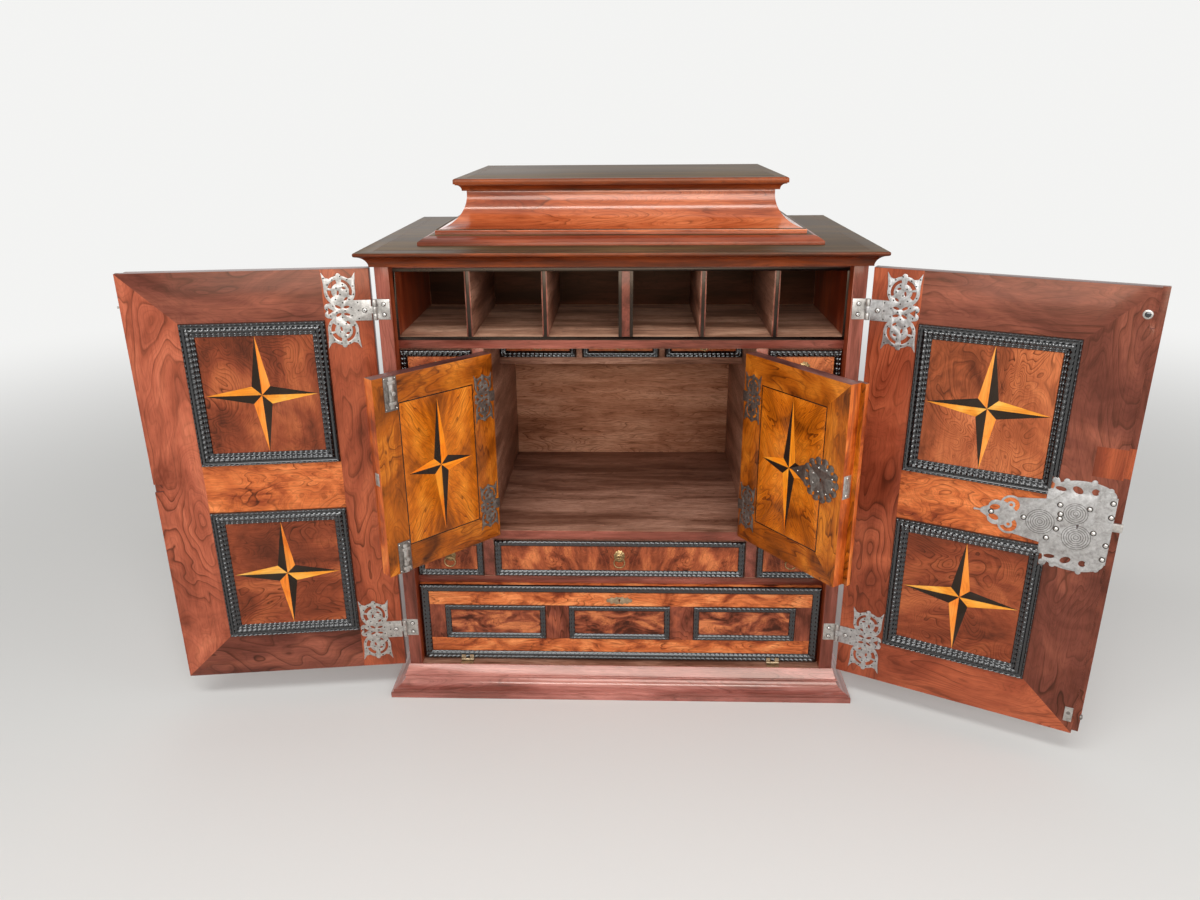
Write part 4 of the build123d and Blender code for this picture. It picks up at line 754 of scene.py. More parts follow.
def ripple_frames(name, body, frames, stands_for=(), turn=FACING_OUT, notches=()):
    """frames holds (x0, x1, z0, z1, y, bar, rise) for each frame, with the door shut."""
    work = bmesh.new()
    for x0, x1, z0, z1, y, bar, rise in frames:
        tree, wave = (DOOR_RIPPLE, DOOR_WAVE) if bar > WIDE_BAR else (THIN_RIPPLE, THIN_WAVE)
        strips = made_by(tree, Width=x1 - x0, Height=z1 - z0, Bar=bar, Rise=rise * 0.95, Pitch=PITCH,
                         Ripple=wave, Finish=FINISH["black_moulding"])
        strips.transform(Matrix.Translation(((x0 + x1) / 2, y, (z0 + z1) / 2)) @ turn)
        work.from_mesh(strips)
    mesh = mesh_from(work, name)
    mesh.materials.append(FINISH["black_moulding"])
    if notches:
        mesh = notched(mesh, notches)
        mesh.name = name
    mesh.transform(opened(body))
    piece = finished(mesh, body, stands_for, 40)
    print(name, "frames:", len(frames), "faces:", len(mesh.polygons))
    return piece


print("a wave every", PITCH * 1000, "mm")

# %% [markdown]
# Nails, screws and pulls repeat. A second tree puts a copy of one pattern at each of a list of
# spots. A spot carries its own turn and size as attributes, so one pattern serves small nails
# and large studs.

# %% The copying tree
def copying_tree():
    tree = bpy.data.node_groups.new("set_copies", "GeometryNodeTree")
    tree.interface.new_socket("Copies", in_out="OUTPUT", socket_type="NodeSocketGeometry")
    tree.interface.new_socket("Spots", in_out="INPUT", socket_type="NodeSocketGeometry")
    tree.interface.new_socket("Pattern", in_out="INPUT", socket_type="NodeSocketObject")
    tree.interface.new_socket("Finish", in_out="INPUT", socket_type="NodeSocketMaterial")
    given = step(tree, "NodeGroupInput").outputs
    read = {}
    for name, kind in (("turn", "FLOAT_VECTOR"), ("size", "FLOAT")):
        node = step(tree, "GeometryNodeInputNamedAttribute", {"Name": name}, data_type=kind)
        read[name] = [s for s in node.outputs if s.enabled and s.name == "Attribute"][0]
    turn = step(tree, "FunctionNodeEulerToRotation", {0: read["turn"]}).outputs[0]
    pattern = step(tree, "GeometryNodeObjectInfo", {"Object": given["Pattern"]}).outputs["Geometry"]
    placed = step(tree, "GeometryNodeInstanceOnPoints", {"Points": given["Spots"], "Instance": pattern,
                                                         "Rotation": turn, "Scale": read["size"]})
    real = step(tree, "GeometryNodeRealizeInstances", {"Geometry": placed.outputs[0]})
    done = step(tree, "GeometryNodeSetMaterial", {"Geometry": real.outputs[0], "Material": given["Finish"]})
    step(tree, "NodeGroupOutput", {0: done.outputs[0]})
    return tree


COPIES = copying_tree()
TURN_OUT = (radians(90), 0, 0)
TURN_IN = (radians(90), 0, radians(180))


def copies(name, body, pattern, spots, finish, stands_for=()):
    """spots holds (x, y, z, turn, size) for each copy, with the door shut."""
    start = bpy.data.meshes.new("spots")
    start.from_pydata([spot[:3] for spot in spots], [], [])
    turns = start.attributes.new("turn", "FLOAT_VECTOR", "POINT")
    turns.data.foreach_set("vector", [angle for spot in spots for angle in spot[3]])
    sizes = start.attributes.new("size", "FLOAT", "POINT")
    sizes.data.foreach_set("value", [spot[4] for spot in spots])
    sample = bpy.data.objects.new("pattern", pattern)
    bpy.context.scene.collection.objects.link(sample)
    mesh = made_by(COPIES, start, Pattern=sample, Finish=FINISH[finish])
    bpy.data.objects.remove(sample)
    mesh.name = name
    mesh.transform(opened(body))
    return finished(mesh, body, stands_for, 50)


print("copying tree:", len(COPIES.nodes), "nodes")

# %% [markdown]
# A nail's dome, a screw's head and the dark ring of painted shade round it are turned shapes.
# Each is drawn as half a section, from the foot to the crown, and carried round in steps. They are
# small on the cabinet and there are many, so each has few faces.

# %% Patterns: turned heads
HEAD_TOP = 0.12


def skin(work, rows, spokes):
    """Faces from each row of points to the next. A row of one point is a pole."""
    for low, high in zip(rows, rows[1:]):
        for k in range(spokes):
            a, b = low[k % len(low)], low[(k + 1) % len(low)]
            c, d = high[(k + 1) % len(high)], high[k % len(high)]
            work.faces.new([v for v in dict.fromkeys((a, b, c, d))])


def turned(name, profile, spokes=16, slot=0.0):
    """A shape turned on Z from (radius, height) points, shut below. slot cuts a screw's slot."""
    work = bmesh.new()
    rows = []
    for radius, height in profile:
        angles = [2 * pi * k / spokes for k in range(spokes if radius else 1)]
        rows.append([work.verts.new((radius * cos(a), radius * sin(a), height)) for a in angles])
    skin(work, rows, spokes)
    if slot:
        for offset in (-slot, slot, -slot * 0.8, slot * 0.8):
            every = work.verts[:] + work.edges[:] + work.faces[:]
            bmesh.ops.bisect_plane(work, geom=every, dist=0.0001, plane_co=(offset, 0, 0), plane_no=(1, 0, 0))
        for vert in work.verts:
            if abs(vert.co.x) < slot * 0.9 and vert.co.z > HEAD_TOP:
                vert.co.z = 0.1
    bmesh.ops.recalc_face_normals(work, faces=work.faces)
    return mesh_from(work, name)


NAIL = turned("nail_head", [(0, -0.3), (1, -0.3), (1, 0.05), (0.82, 0.36), (0.5, 0.56), (0, 0.64)])
SCREW = turned("screw_head", [(0, -0.3), (1, -0.3), (1, 0.1), (0.85, 0.34), (0.5, 0.44), (0, 0.48)], 20, 0.14)
SEAT = turned("rivet_seat", [(0, -0.2), (1, -0.2), (1, 0.03), (0.88, 0.1), (0, 0.14)], 20)
print("nail faces:", len(NAIL.polygons), "screw faces:", len(SCREW.polygons))

# %% [markdown]
# A drawer is pulled by a ring that hangs from the jaws of a little beast's mask, cast in brass.
# The mask is drawn in polar rows: a fringe of mane, a domed head, brows, and a muzzle that
# stands out far enough to hold the ring. The ring is a plain turned one.

# %% Patterns: mask and ring
def mask_height(x, z):
    """How far the mask stands out, in millimetres, at a place on it."""
    def lump(cx, cz, wide, tall):
        return exp(-((x - cx) / wide) ** 2 - ((z - cz) / tall) ** 2)

    r = sqrt((x / 11) ** 2 + (z / 13) ** 2)
    head = 4.2 * max(0.0, 1 - (r / 0.8) ** 2) ** 0.6
    mane = 1.9 * max(0.0, 1 - ((r - 0.78) / 0.3) ** 2)
    brows = 1.3 * (lump(-3.2, 3.6, 2.2, 1.2) + lump(3.2, 3.6, 2.2, 1.2))
    eyes = -1.6 * (lump(-3.1, 1.9, 1.3, 1.0) + lump(3.1, 1.9, 1.3, 1.0))
    nose = 2.0 * lump(0, 1.6, 1.6, 3.2)
    muzzle = 5.8 * lump(0, -0.6, 3.6, 2.9)
    return head + mane + brows + eyes + nose + muzzle


def mask_mesh(spokes=44, rings=15):
    """The mask on a round grid of points, 22.6 by 27.2 mm, with a flat back."""
    work = bmesh.new()
    rows = [[work.verts.new((0, 0, mask_height(0, 0) / 1000))]]
    for i in range(1, rings + 1):
        r = i / rings
        row = []
        for k in range(spokes):
            a = 2 * pi * k / spokes
            locks = 1 + 0.07 * cos(11 * a) * r ** 4
            x, z = 11.3 * r * cos(a) * locks, 13.6 * r * sin(a) * locks
            height = mask_height(x, z) + 0.55 * cos(11 * a) * max(0, r - 0.5) * 2
            row.append(work.verts.new((x / 1000, z / 1000, (height if i < rings else 0.6) / 1000)))
        rows.append(row)
    rows.append([work.verts.new((v.co.x, v.co.y, -0.0004)) for v in rows[-1]])
    rows.append([work.verts.new((0, 0, -0.0004))])
    skin(work, rows, spokes)
    bmesh.ops.recalc_face_normals(work, faces=work.faces)
    return mesh_from(work, "beast_mask")


def ring_mesh(radius=0.011, wire=0.0014, spokes=40, sides=12):
    """A ring that hangs in its own plane, from the point where the mask holds it."""
    work = bmesh.new()
    rows = []
    for k in range(spokes):
        a = 2 * pi * k / spokes
        out = Vector((cos(a), sin(a), 0))
        middle = out * radius - Vector((0, radius, 0))
        rows.append([work.verts.new(middle + out * wire * cos(2 * pi * j / sides)
                                    + Vector((0, 0, wire * sin(2 * pi * j / sides)))) for j in range(sides)])
    for k in range(spokes):
        for j in range(sides):
            here, there = rows[k], rows[(k + 1) % spokes]
            work.faces.new((here[j], there[j], there[(j + 1) % sides], here[(j + 1) % sides]))
    bmesh.ops.recalc_face_normals(work, faces=work.faces)
    return mesh_from(work, "pull_ring")


MASK, RING = mask_mesh(), ring_mesh()
print("mask faces:", len(MASK.polygons), "ring faces:", len(RING.polygons))

# %% [markdown]
# The carcass is boards and mitred mouldings. Each board's grain follows its length, which the
# helper finds by itself. The upper sides have faded in the light to a grey straw colour, and
# the front faces take a pinkish copy of the walnut, which is painted sheen.

# %% The outside of the carcass
OUTSIDE = ("plinth_moulding", "carcass_sides", "carcass_top", "cornice_moulding", "top_base_moulding",
           "cove_facings", "cap_moulding", "top_core")
RED = {"plinth_moulding": "plinth_walnut", "cornice_moulding": "moulding_walnut",
       "cap_moulding": "moulding_walnut", "cove_facings": "cove_walnut"}
PLINTH_Z, CORNICE_Z = 0.07, 0.9
FACING = 0.97


def outside_rule(centre, normal, board, run):
    """Level upper faces are faded, front faces take a pinkish walnut with painted sheen, and the rest is red.
    """
    if normal.z > FACING and centre.z > CORNICE_Z:
        return 1, along(run, board * 2 + 9), "faded"
    if normal.y < -FACING and PLINTH_Z < centre.z < CORNICE_Z:
        return 2, along(run, board * 2 + 6), "front"
    if run == 0 and abs(normal.x) > abs(normal.y):
        return 0, along(1, board * 2 + 4), ("side", normal.x > 0)
    return 0, along(run, board * 2 + 4), "red"


for node in OUTSIDE:
    dress(node, [RED.get(node, "red_walnut"), "faded_walnut", "front_walnut"], outside_rule)
print("outside pieces:", len(OUTSIDE))

# %% [markdown]
# Inside, a maker saved walnut: only the front edges of shelves and partitions show it, and oak
# lies behind. The floors of the pigeonholes take a paler oak, which is painted light where the
# lamps reach them, while their backs take a nearly black oak, which is painted shade.

# %% The inside of the carcass
INSIDE = ("interior_shelves", "partition_walls", "pigeonhole_dividers", "drawer_dividers")
FRONT_Y = -0.2665
RAILS_Y = FRONT_Y + 0.030
PIGEONHOLE_Z = 0.75


def inside_rule(centre, normal, board, run):
    """Front edges are walnut with painted sheen, oak lies behind them, and the floors take a paler oak,
    painted light.
    """
    front = normal.y < -0.7 and centre.y < RAILS_Y + 0.001
    # the upward faces of the pigeonholes take the paler oak as painted light
    floor = normal.z > 0.9 and centre.z > PIGEONHOLE_Z
    return (1 if front else 2 if floor else 0), along(run, board * 2 + 5), (front, floor)


def back_rule(centre, normal, board, run):
    """The backs of the pigeonholes take a nearly black oak, painted shade; the back of the cupboard keeps its
    oak.
    """
    high = centre.z > PIGEONHOLE_Z
    return (1 if high else 0), along(run, board * 2 + 5), high


for node in INSIDE:
    dress(node, ["inside_oak", "front_walnut", "pale_oak"], inside_rule)
dress("interior_backs", ["back_oak", "deep_oak"], back_rule)
dress("carcass_back", ["inside_oak"], axis=2)
dress("carcass_bottom", ["inside_oak"])
dress("pigeonhole_edging", ["ebony"], soften=0.00012)
print("carcass pieces:", len(OUTSIDE) + len(INSIDE) + 4)

# %% [markdown]
# A drawer's front is figured walnut, book-matched about its middle, and the rest of it is oak.
# The solid drawer carries a plain moulding and a plain pull. Those faces are dropped from the
# copy, and the ripple frame and the mask take their place.

# %% Drawers
MOVING_DRAWERS = ("lower_left", "lower_centre", "lower_right", "upper_left", "upper_centre", "upper_right")
RISE = 0.006
DRAWER_BAR = 0.014
SMALL_FACE_Y = RAILS_Y + 0.21
PULL_STAND = 0.008
PULL_HEIGHT = 0.0052


def drawer_rule(face, middle):
    """Walnut matched about the middle on the face, and oak behind it."""
    def rule(centre, normal, board, run):
        facing = normal.y < -0.7 and centre.y < face + 0.001
        if facing:
            x = middle if centre.x * middle >= 0 else -middle
            return 1, matched(x, 0, 20, board * 3 + 2), "front"
        return 0, along(run, board * 3 + 2), "rest"

    return rule


def plain_trim(face):
    """True for the plain moulding and pull that stand in front of a drawer's face."""
    def drop(centre, normal):
        return centre.y < face - 0.00001 or (centre.y < face + 0.00001 and normal.y > 0.5)

    return drop


def pull_spots(middle, face, z0, z1):
    """Where the mask and the ring of one drawer go."""
    eye = (z0 + z1) / 2 + PULL_HEIGHT
    return (middle, face, eye, TURN_OUT, 1.0), (middle, face - PULL_STAND, eye, TURN_OUT, 1.0)


for name in MOVING_DRAWERS:
    node = name + "_drawer"
    (x0, _, z0), (x1, _, z1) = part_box(node)
    face = RAILS_Y if name.startswith("lower") else SMALL_FACE_Y
    middle = (x0 + x1) / 2
    body = body_of(node)
    dress(node, ["inside_oak", "drawer_burl"], drawer_rule(face, middle), [((middle, 0, 0), (1, 0, 0))],
          drop=plain_trim(face))
    ripple_frames(name + "_ripple", body, [(x0, x1, z0, z1, face, DRAWER_BAR, RISE)])
    mask, ring = pull_spots(middle, face, z0, z1)
    copies(name + "_mask", body, MASK, [mask], "old_brass")
    copies(name + "_pull", name + "_ring", RING, [ring], "old_brass", [name + "_ring"])
print("moving drawers:", len(MOVING_DRAWERS))

# %% [markdown]
# Two columns of four drawers stand beside the cupboard. In each row of the solid model the left
# and the right drawer are one piece, so its veneer is matched about the middle of each drawer.

# %% The eight drawers at the sides
COLUMN_X = 0.3495
COLUMN_ENDS = (0.2808, 0.4182)
ROWS = range(1, 5)
frames, masks, rings = [], [], []
for row in ROWS:
    node = "column_drawers_row_%d" % row
    z0, z1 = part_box(node)[0][2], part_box(node)[1][2]
    dress(node, ["inside_oak", "drawer_burl"], drawer_rule(RAILS_Y, COLUMN_X),
          [((side * COLUMN_X, 0, 0), (1, 0, 0)) for side in (-1, 1)])
    for side in (-1, 1):
        x0, x1 = sorted(side * x for x in COLUMN_ENDS)
        frames.append((x0, x1, z0, z1, RAILS_Y, DRAWER_BAR, RISE))
        mask, ring = pull_spots((x0 + x1) / 2, RAILS_Y, z0, z1)
        masks.append(mask)
        rings.append(ring)
ripple_frames("column_ripples", "carcass", frames, ["column_drawer_mouldings"])
copies("column_masks", "carcass", MASK, masks, "old_brass", ["column_drawer_pulls"])
copies("column_rings", "carcass", RING, rings, "old_brass")
print("drawers:", len(rings) + len(MOVING_DRAWERS))

# %% [markdown]
# The inside of an outer door is a picture made of sheets. The hinge side is one upright sheet,
# the free side meets the top and bottom sheets in mitres, the middle rail lies level, and each
# star panel is a sheet cut from a root, where the growth lines swirl round knots. The right
# door's free side was once mended with a small patch. Places are told by u, the distance from
# the hinge edge, so that one rule serves both doors.

# %% Veneers of the outer doors
EDGE_X = 0.4435
FRAME_U = (0.086, 0.348)
FRAME_Z = ((0.153, 0.431), (0.528, 0.806))
STAR_Z = (0.292, 0.667)
DOOR_Z = (0.0635, 0.8985)
INNER_FACE = FRONT_Y - 0.0015
PATCH = (0.396, 0.574, 0.628)


def outer_cuts(side):
    """Planes along the panels, the mitres at the free corners and the patch."""
    cuts = [((side * (EDGE_X - u), 0, 0), (1, 0, 0)) for u in FRAME_U]
    cuts += [((0, 0, z), (0, 0, 1)) for pair in FRAME_Z for z in pair]
    inner_x = side * (EDGE_X - FRAME_U[1])
    for frame_z, door_z in ((FRAME_Z[1][1], DOOR_Z[1]), (FRAME_Z[0][0], DOOR_Z[0])):
        run = Vector((-inner_x, 0, door_z - frame_z))
        cuts.append(((inner_x, 0, frame_z), (run.z, 0, -run.x)))
    if side > 0:
        cuts += [((EDGE_X - PATCH[0], 0, 0), (1, 0, 0))] + [((0, 0, z), (0, 0, 1)) for z in PATCH[1:]]
    return cuts


def outer_sheet(u, z):
    """The name of the sheet at a place on the door."""
    for k, (low, high) in enumerate(FRAME_Z):
        if FRAME_U[0] < u < FRAME_U[1] and low < z < high:
            return "panel%d" % k
    if u < FRAME_U[0]:
        return "stile"
    mitre = (u - FRAME_U[1]) / (EDGE_X - FRAME_U[1])
    if z > FRAME_Z[1][1] and (z - FRAME_Z[1][1]) / (DOOR_Z[1] - FRAME_Z[1][1]) > mitre:
        return "top"
    if z < FRAME_Z[0][0] and (FRAME_Z[0][0] - z) / (FRAME_Z[0][0] - DOOR_Z[0]) > mitre:
        return "foot"
    if u > FRAME_U[1]:
        return "free"
    return "middle"


print("cuts in the left door:", len(outer_cuts(-1)), "in the right door:", len(outer_cuts(1)))

# %% [markdown]
# A maker uses what veneer there is, so the two doors do not match in tone, and some sheets also
# carry painted shade and painted light: darker and lighter copies of the border walnut and of the
# burl. One table of sheets and woods would hide that. These rules say which sheets are dark, which
# are light, and from which part of the log each one comes. The outer faces are plain, the upright
# edges are red walnut, and the level edges take a mauve walnut, which is painted sheen.

# %% Woods of the outer doors
SHEETS = ["border_walnut", "burl", "middle_walnut", "mauve_walnut", "red_walnut", "dark_border",
          "light_burl", "light_border"]
UPRIGHT_SHEETS = ("stile", "free", "panel1")


def sheet_wood(kind, side):
    """The doors do not match: each sheet's tone is partly its own, and the darker and lighter copies add
    painted shade and painted light.
    """
    if kind.startswith("panel"):
        return "light_burl" if side > 0 and kind == "panel1" else "burl"
    if kind == "middle":
        return "middle_walnut"
    if kind == "top" or (kind == "free" and side > 0) or (kind == "foot" and side < 0):
        return "dark_border"
    return "light_border" if kind == "free" else "border_walnut"


def sheet_number(kind, side):
    """Which part of the log a sheet comes from."""
    if kind.startswith("panel"):
        return 20 + side + 3 * int(kind[-1])
    return 31 + side if kind == "middle" else len(kind) + 4 * side + ord(kind[0])


def outer_rule(side):
    """Wood and grain for each face of an outer door."""
    def rule(centre, normal, board, run):
        if normal.y < -0.7:
            return SHEETS.index("border_walnut"), along(2, 11 + side, (0.0, None, None)), "outside"
        if normal.y < 0.7:
            upright = abs(normal.x) > 0.7
            # the level edges take the mauve walnut, which is painted sheen
            wood_name = "red_walnut" if upright else "mauve_walnut"
            return SHEETS.index(wood_name), along(2 if upright else 0, 17 + side), ("edge", upright)
        u = EDGE_X - abs(centre.x)
        if side > 0 and u > PATCH[0] and PATCH[1] < centre.z < PATCH[2]:
            return SHEETS.index("red_walnut"), along(2, 5), "patch"
        kind = outer_sheet(u, centre.z)
        grain = along(2 if kind in UPRIGHT_SHEETS else 0, sheet_number(kind, side))
        return SHEETS.index(sheet_wood(kind, side)), grain, kind

    return rule


for word, side in (("left", -1), ("right", 1)):
    dress(word + "_outer_door", SHEETS, outer_rule(side), outer_cuts(side), soften=0.00012)
    print(word, "door, woods of the frame:", [sheet_wood(kind, side) for kind in ("free", "top", "foot")])

# %% [markdown]
# The lock's plate lies over two corners of the right door's frames, so the mouldings are
# notched for it, as they are on the solid.

# %% Ripple frames of the outer doors
LOCK_NOTCH = (((-0.02, -0.3, 0.4148), (0.1098, -0.2, 0.5412)),
              ((-0.02, -0.3, 0.3928), (0.1058, -0.2, 0.5632)))
DOOR_BAR, DOOR_RISE = 0.026, 0.007
for word, side in (("left", -1), ("right", 1)):
    node = word + "_outer_door"
    frames = []
    for z0, z1 in FRAME_Z:
        x0, x1 = sorted((side * (EDGE_X - FRAME_U[0]), side * (EDGE_X - FRAME_U[1])))
        frames.append((x0, x1, z0, z1, INNER_FACE, DOOR_BAR, DOOR_RISE))
    ripple_frames(word + "_ripples", body_of(node), frames, [word + "_outer_frames"], FACING_IN,
                  LOCK_NOTCH if side > 0 else ())
print("lock notches:", len(LOCK_NOTCH))

# %% [markdown]
# A compass star is eight triangles. Seen on the open door and going round it clockwise, each
# arm has a dark half and then a light half, and one star was laid the other way about. The
# uprights are a redder wood than the level arms. The solids are the triangles already, so the
# rule only has to tell light from dark by the side of the arm on which a triangle lies.

# %% Stars
def star_rule(centres, mirrored=()):
    """Light and dark halves of the arms, for triangles near the given star centres."""
    def rule(centre, normal, board, run):
        near = min(range(len(centres)), key=lambda k: (centre - centres[k]).length)
        across = centres[near].x - centre.x
        up = centre.z - centres[near].z
        upright = abs(up) > abs(across)
        dark = (up * across < 0) if upright else (up * across > 0)
        if near in mirrored:
            dark = not dark
        kind = 0 if dark else (1 if upright else 2)
        return kind, along(2 if upright else 0, board + 7), (board, kind, upright)

    return rule


STAR_WOODS = ["ebony", "orange_inlay", "yellow_inlay"]
GOLD_STAR = ["ebony", "gold_inlay", "gold_inlay"]
STAR_U = 0.217
for word, side in (("left", -1), ("right", 1)):
    middles = [Vector((side * (EDGE_X - STAR_U), FRONT_Y - 0.0026, z)) for z in STAR_Z]
    mirrored = (1,) if side > 0 else ()
    dress(word + "_outer_stars", STAR_WOODS, star_rule(middles, mirrored), soften=0)
    print(word, "door's stars:", len(middles))

# %% [markdown]
# The inner doors are golden walnut. Mitred borders run round a panel of four matched sheets,
# whose figure spreads like feathers from the middle, and a dark string lies between. The string
# is inlaid, so it is dark wood and flush, and only the star between has light triangles.

# %% Inner doors
INNER_EDGE = 0.256
INNER_MID_Z = 0.5497
INNER_Z = (0.3625, 0.738)
BORDER_U, BORDER_Z = 0.047, 0.0499
PANEL_ENDS = (0.4125, 0.688)
LAP_Y = -0.2365


def inner_cuts(side):
    """Planes along the panel and its middle lines, and the four mitres of the border."""
    cuts = [((side * (INNER_EDGE - u), 0, 0), (1, 0, 0)) for u in (BORDER_U, INNER_EDGE - BORDER_U)]
    cuts += [((0, 0, z), (0, 0, 1)) for z in (*PANEL_ENDS, INNER_MID_Z)]
    cuts.append(((side * (INNER_EDGE + 0.00075) / 2, 0, 0), (1, 0, 0)))
    for x in (0, INNER_EDGE):
        for z in INNER_Z:
            lean = 1 if (x == 0) == (z == INNER_Z[0]) else -1
            cuts.append(((side * x, 0, z), (1, 0, -lean * side)))
    return cuts


def inner_rule(side):
    """Wood and grain for each face of an inner door."""
    def rule(centre, normal, board, run):
        u = INNER_EDGE - abs(centre.x)
        z = centre.z
        if normal.y < -0.7:
            return 0, along(2, 43 + side), "outside"
        if normal.y < 0.7:
            upright = abs(normal.x) > 0.5
            # the level edges take the mauve walnut, painted sheen, and the upright ones the edge walnut
            return (3 if upright else 2), along(2 if upright else 0, 45 + side), ("edge", upright)
        in_u = min(u, INNER_EDGE - u)
        in_z = min(z - INNER_Z[0], INNER_Z[1] - z)
        if in_u > BORDER_U and in_z > BORDER_Z:
            return 1, matched(side * (INNER_EDGE / 2), INNER_MID_Z, 32, 47 + side), "panel"
        if in_z < in_u:
            return 0, along(0, 51 + side + (5 if z > INNER_MID_Z else 0)), ("level", z > INNER_MID_Z)
        return 0, along(2, 54 + side + (7 if u > 0.128 else 0)), ("upright", u > 0.128)

    return rule


STAR_HALF_WIDTH, STAR_HALF_HEIGHT = 0.074, 0.134


def inner_inlay_rule(side):
    """The string is dark, and the star's triangles take turns."""
    centre_x = side * (INNER_EDGE + 0.00075) / 2
    star = star_rule([Vector((centre_x, FRONT_Y + 0.053, INNER_MID_Z))])

    def rule(centre, normal, board, run):
        aside = abs(abs(centre.x) - abs(centre_x)) > STAR_HALF_WIDTH
        if aside or abs(centre.z - INNER_MID_Z) > STAR_HALF_HEIGHT:
            return 0, along(run, board), "string"
        return star(centre, normal, board, run)

    return rule


def lap_eased(point):
    """The strip that laps over the other door clears it by a hair."""
    if point.x < 0.0006 and abs(point.y - LAP_Y) < MERGE:
        return Vector((point.x, point.y - 0.0002, point.z))
    return point


for word, side in (("left", -1), ("right", 1)):
    dress(word + "_inner_door", ["gold_walnut", "gold_burl", "mauve_walnut", "edge_walnut"],
          inner_rule(side), inner_cuts(side), ease=lap_eased if side > 0 else None)
    dress(word + "_inner_inlays", GOLD_STAR, inner_inlay_rule(side), soften=0)
    print(word, "inner door and its inlays")

# %% [markdown]
# The fall flap is orange walnut above and below, with short redder uprights between three dark
# burl panels. Each panel has its own thin ripple frame, and a wider one runs round the flap.

# %% Flap
PANELS_X = (-0.261, 0.0, 0.261)
PANEL_HALF = 0.1065
PANEL_Z = (0.112, 0.192)
FLAP_FACE = FRONT_Y + 0.022


def flap_rule(centre, normal, board, run):
    """Rails above and below, panels, and short uprights between them."""
    if normal.y > -0.7:
        return 0, along(0, 60), "rest"
    if not PANEL_Z[0] < centre.z < PANEL_Z[1]:
        return 0, along(0, 63 if centre.z > 0.15 else 66), ("rail", centre.z > 0.15)
    for k, x in enumerate(PANELS_X):
        if abs(centre.x - x) < PANEL_HALF:
            return 1, along(0, 61 + 5 * k), k
    return 2, along(2, 70 + int(centre.x * 20)), round(centre.x, 1)


cuts = [((x + half, 0, 0), (1, 0, 0)) for x in PANELS_X for half in (-PANEL_HALF, PANEL_HALF)]
cuts += [((0, 0, z), (0, 0, 1)) for z in PANEL_Z]
dress("flap_board", ["flap_walnut", "flap_burl", "flap_upright"], flap_rule, cuts)
(x0, _, z0), (x1, _, z1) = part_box("flap_mouldings")
frames = [(x0, x1, z0, z1, FLAP_FACE, 0.018, 0.007)]
frames += [(x - PANEL_HALF, x + PANEL_HALF, *PANEL_Z, FLAP_FACE, 0.013, 0.005) for x in PANELS_X]
ripple_frames("flap_ripples", "flap", frames, ["flap_mouldings"])
dress("flap_fittings", ["pale_brass"], soften=0.0002)
dress("flap_hinge_leaves", ["pale_brass"], soften=0)
print("flap panels:", len(PANELS_X))

# %% [markdown]
# The ironwork keeps its sawn outline from the solids. Its edges are softened less than wood's,
# and the lock plate carries the place of each point on the door, for its engraved rings.

# %% Ironwork
BRIGHT_IRON = ("outer_hinge_leaves", "left_outer_ironwork", "outer_lock_bolt", "left_outer_edge_bolt",
               "flap_lock_bolt")
DARK_IRON = ("inner_hinge_leaves", "left_inner_ironwork", "right_inner_ironwork", "left_inner_upper_bolt",
             "left_inner_lower_bolt", "inner_lock_bolt")


def plate_rule(centre, normal, board, run):
    """The place on the door stands in for grain: across, up."""
    return 0, (lambda point: Vector((EDGE_X - abs(point.x), point.z, 0.0))), "plate"


def inner_iron_rule(centre, normal, board, run):
    """The plates are dark. What hands and bolts rub is bright."""
    rubbed = centre.y > -0.2105 or centre.x > 0 and centre.x < 0.0018
    return (1 if rubbed else 0), along(run, board), rubbed


dress("right_outer_ironwork", ["lock_iron"], plate_rule, soften=0.0002)
for node in BRIGHT_IRON:
    dress(node, ["bright_iron"], soften=0.0002)
for node in DARK_IRON:
    dress(node, ["dark_iron", "bright_iron"], inner_iron_rule, soften=0.0002)
print("iron pieces:", 1 + len(BRIGHT_IRON) + len(DARK_IRON))

# %% [markdown]
# The plates are held by domed rivets and by a slotted screw on each strap, and each head sits on
# a dark disc a little wider than itself, which is painted shade round the head. The places of the
# lock's rivets are measured on the door, from its hinge edge and from the floor. The small nails of
# the pierced plates have to find metal between the holes, so a ray is cast at the middle and at
# four points round each likely place.

# %% Find metal for the nails
PLATE_TOP = INNER_FACE + 0.0012
HINGE_Z = (0.149, 0.8225)
GRID = 0.003


def on_door(side, u, z, lift=0.0, size=0.002, turn=TURN_IN):
    """A spot on an outer door, u and z in millimetres."""
    return (side * (EDGE_X - u / 1000), PLATE_TOP + lift, z / 1000, turn, size)


def spots_on_metal(node, side, z_mid, apart=0.0125, edge=0.0021):
    """Places on a pierced plate where a nail has metal all round it."""
    work = joined_copy(node)
    tree = BVHTree.FromBMesh(work)
    work.free()
    found = []
    for i in range(22):
        for j in range(-22, 23):
            u, z = 0.024 + i * GRID, z_mid + j * GRID
            x = side * (EDGE_X - u)
            tests = [(x + dx * edge, z + dz * edge) for dx, dz in ((0, 0), (1, 0), (-1, 0), (0, 1), (0, -1))]
            on = all(tree.ray_cast(Vector((a, FRONT_Y, b)), Vector((0, -1, 0)), 0.004)[0] for a, b in tests)
            if on and all((x - p) ** 2 + (z - q) ** 2 > apart ** 2 for p, q in found):
                found.append((x, z))
    return found


print("nails near the left door's lower hinge:",
      len(spots_on_metal("left_outer_ironwork", -1, HINGE_Z[0])))

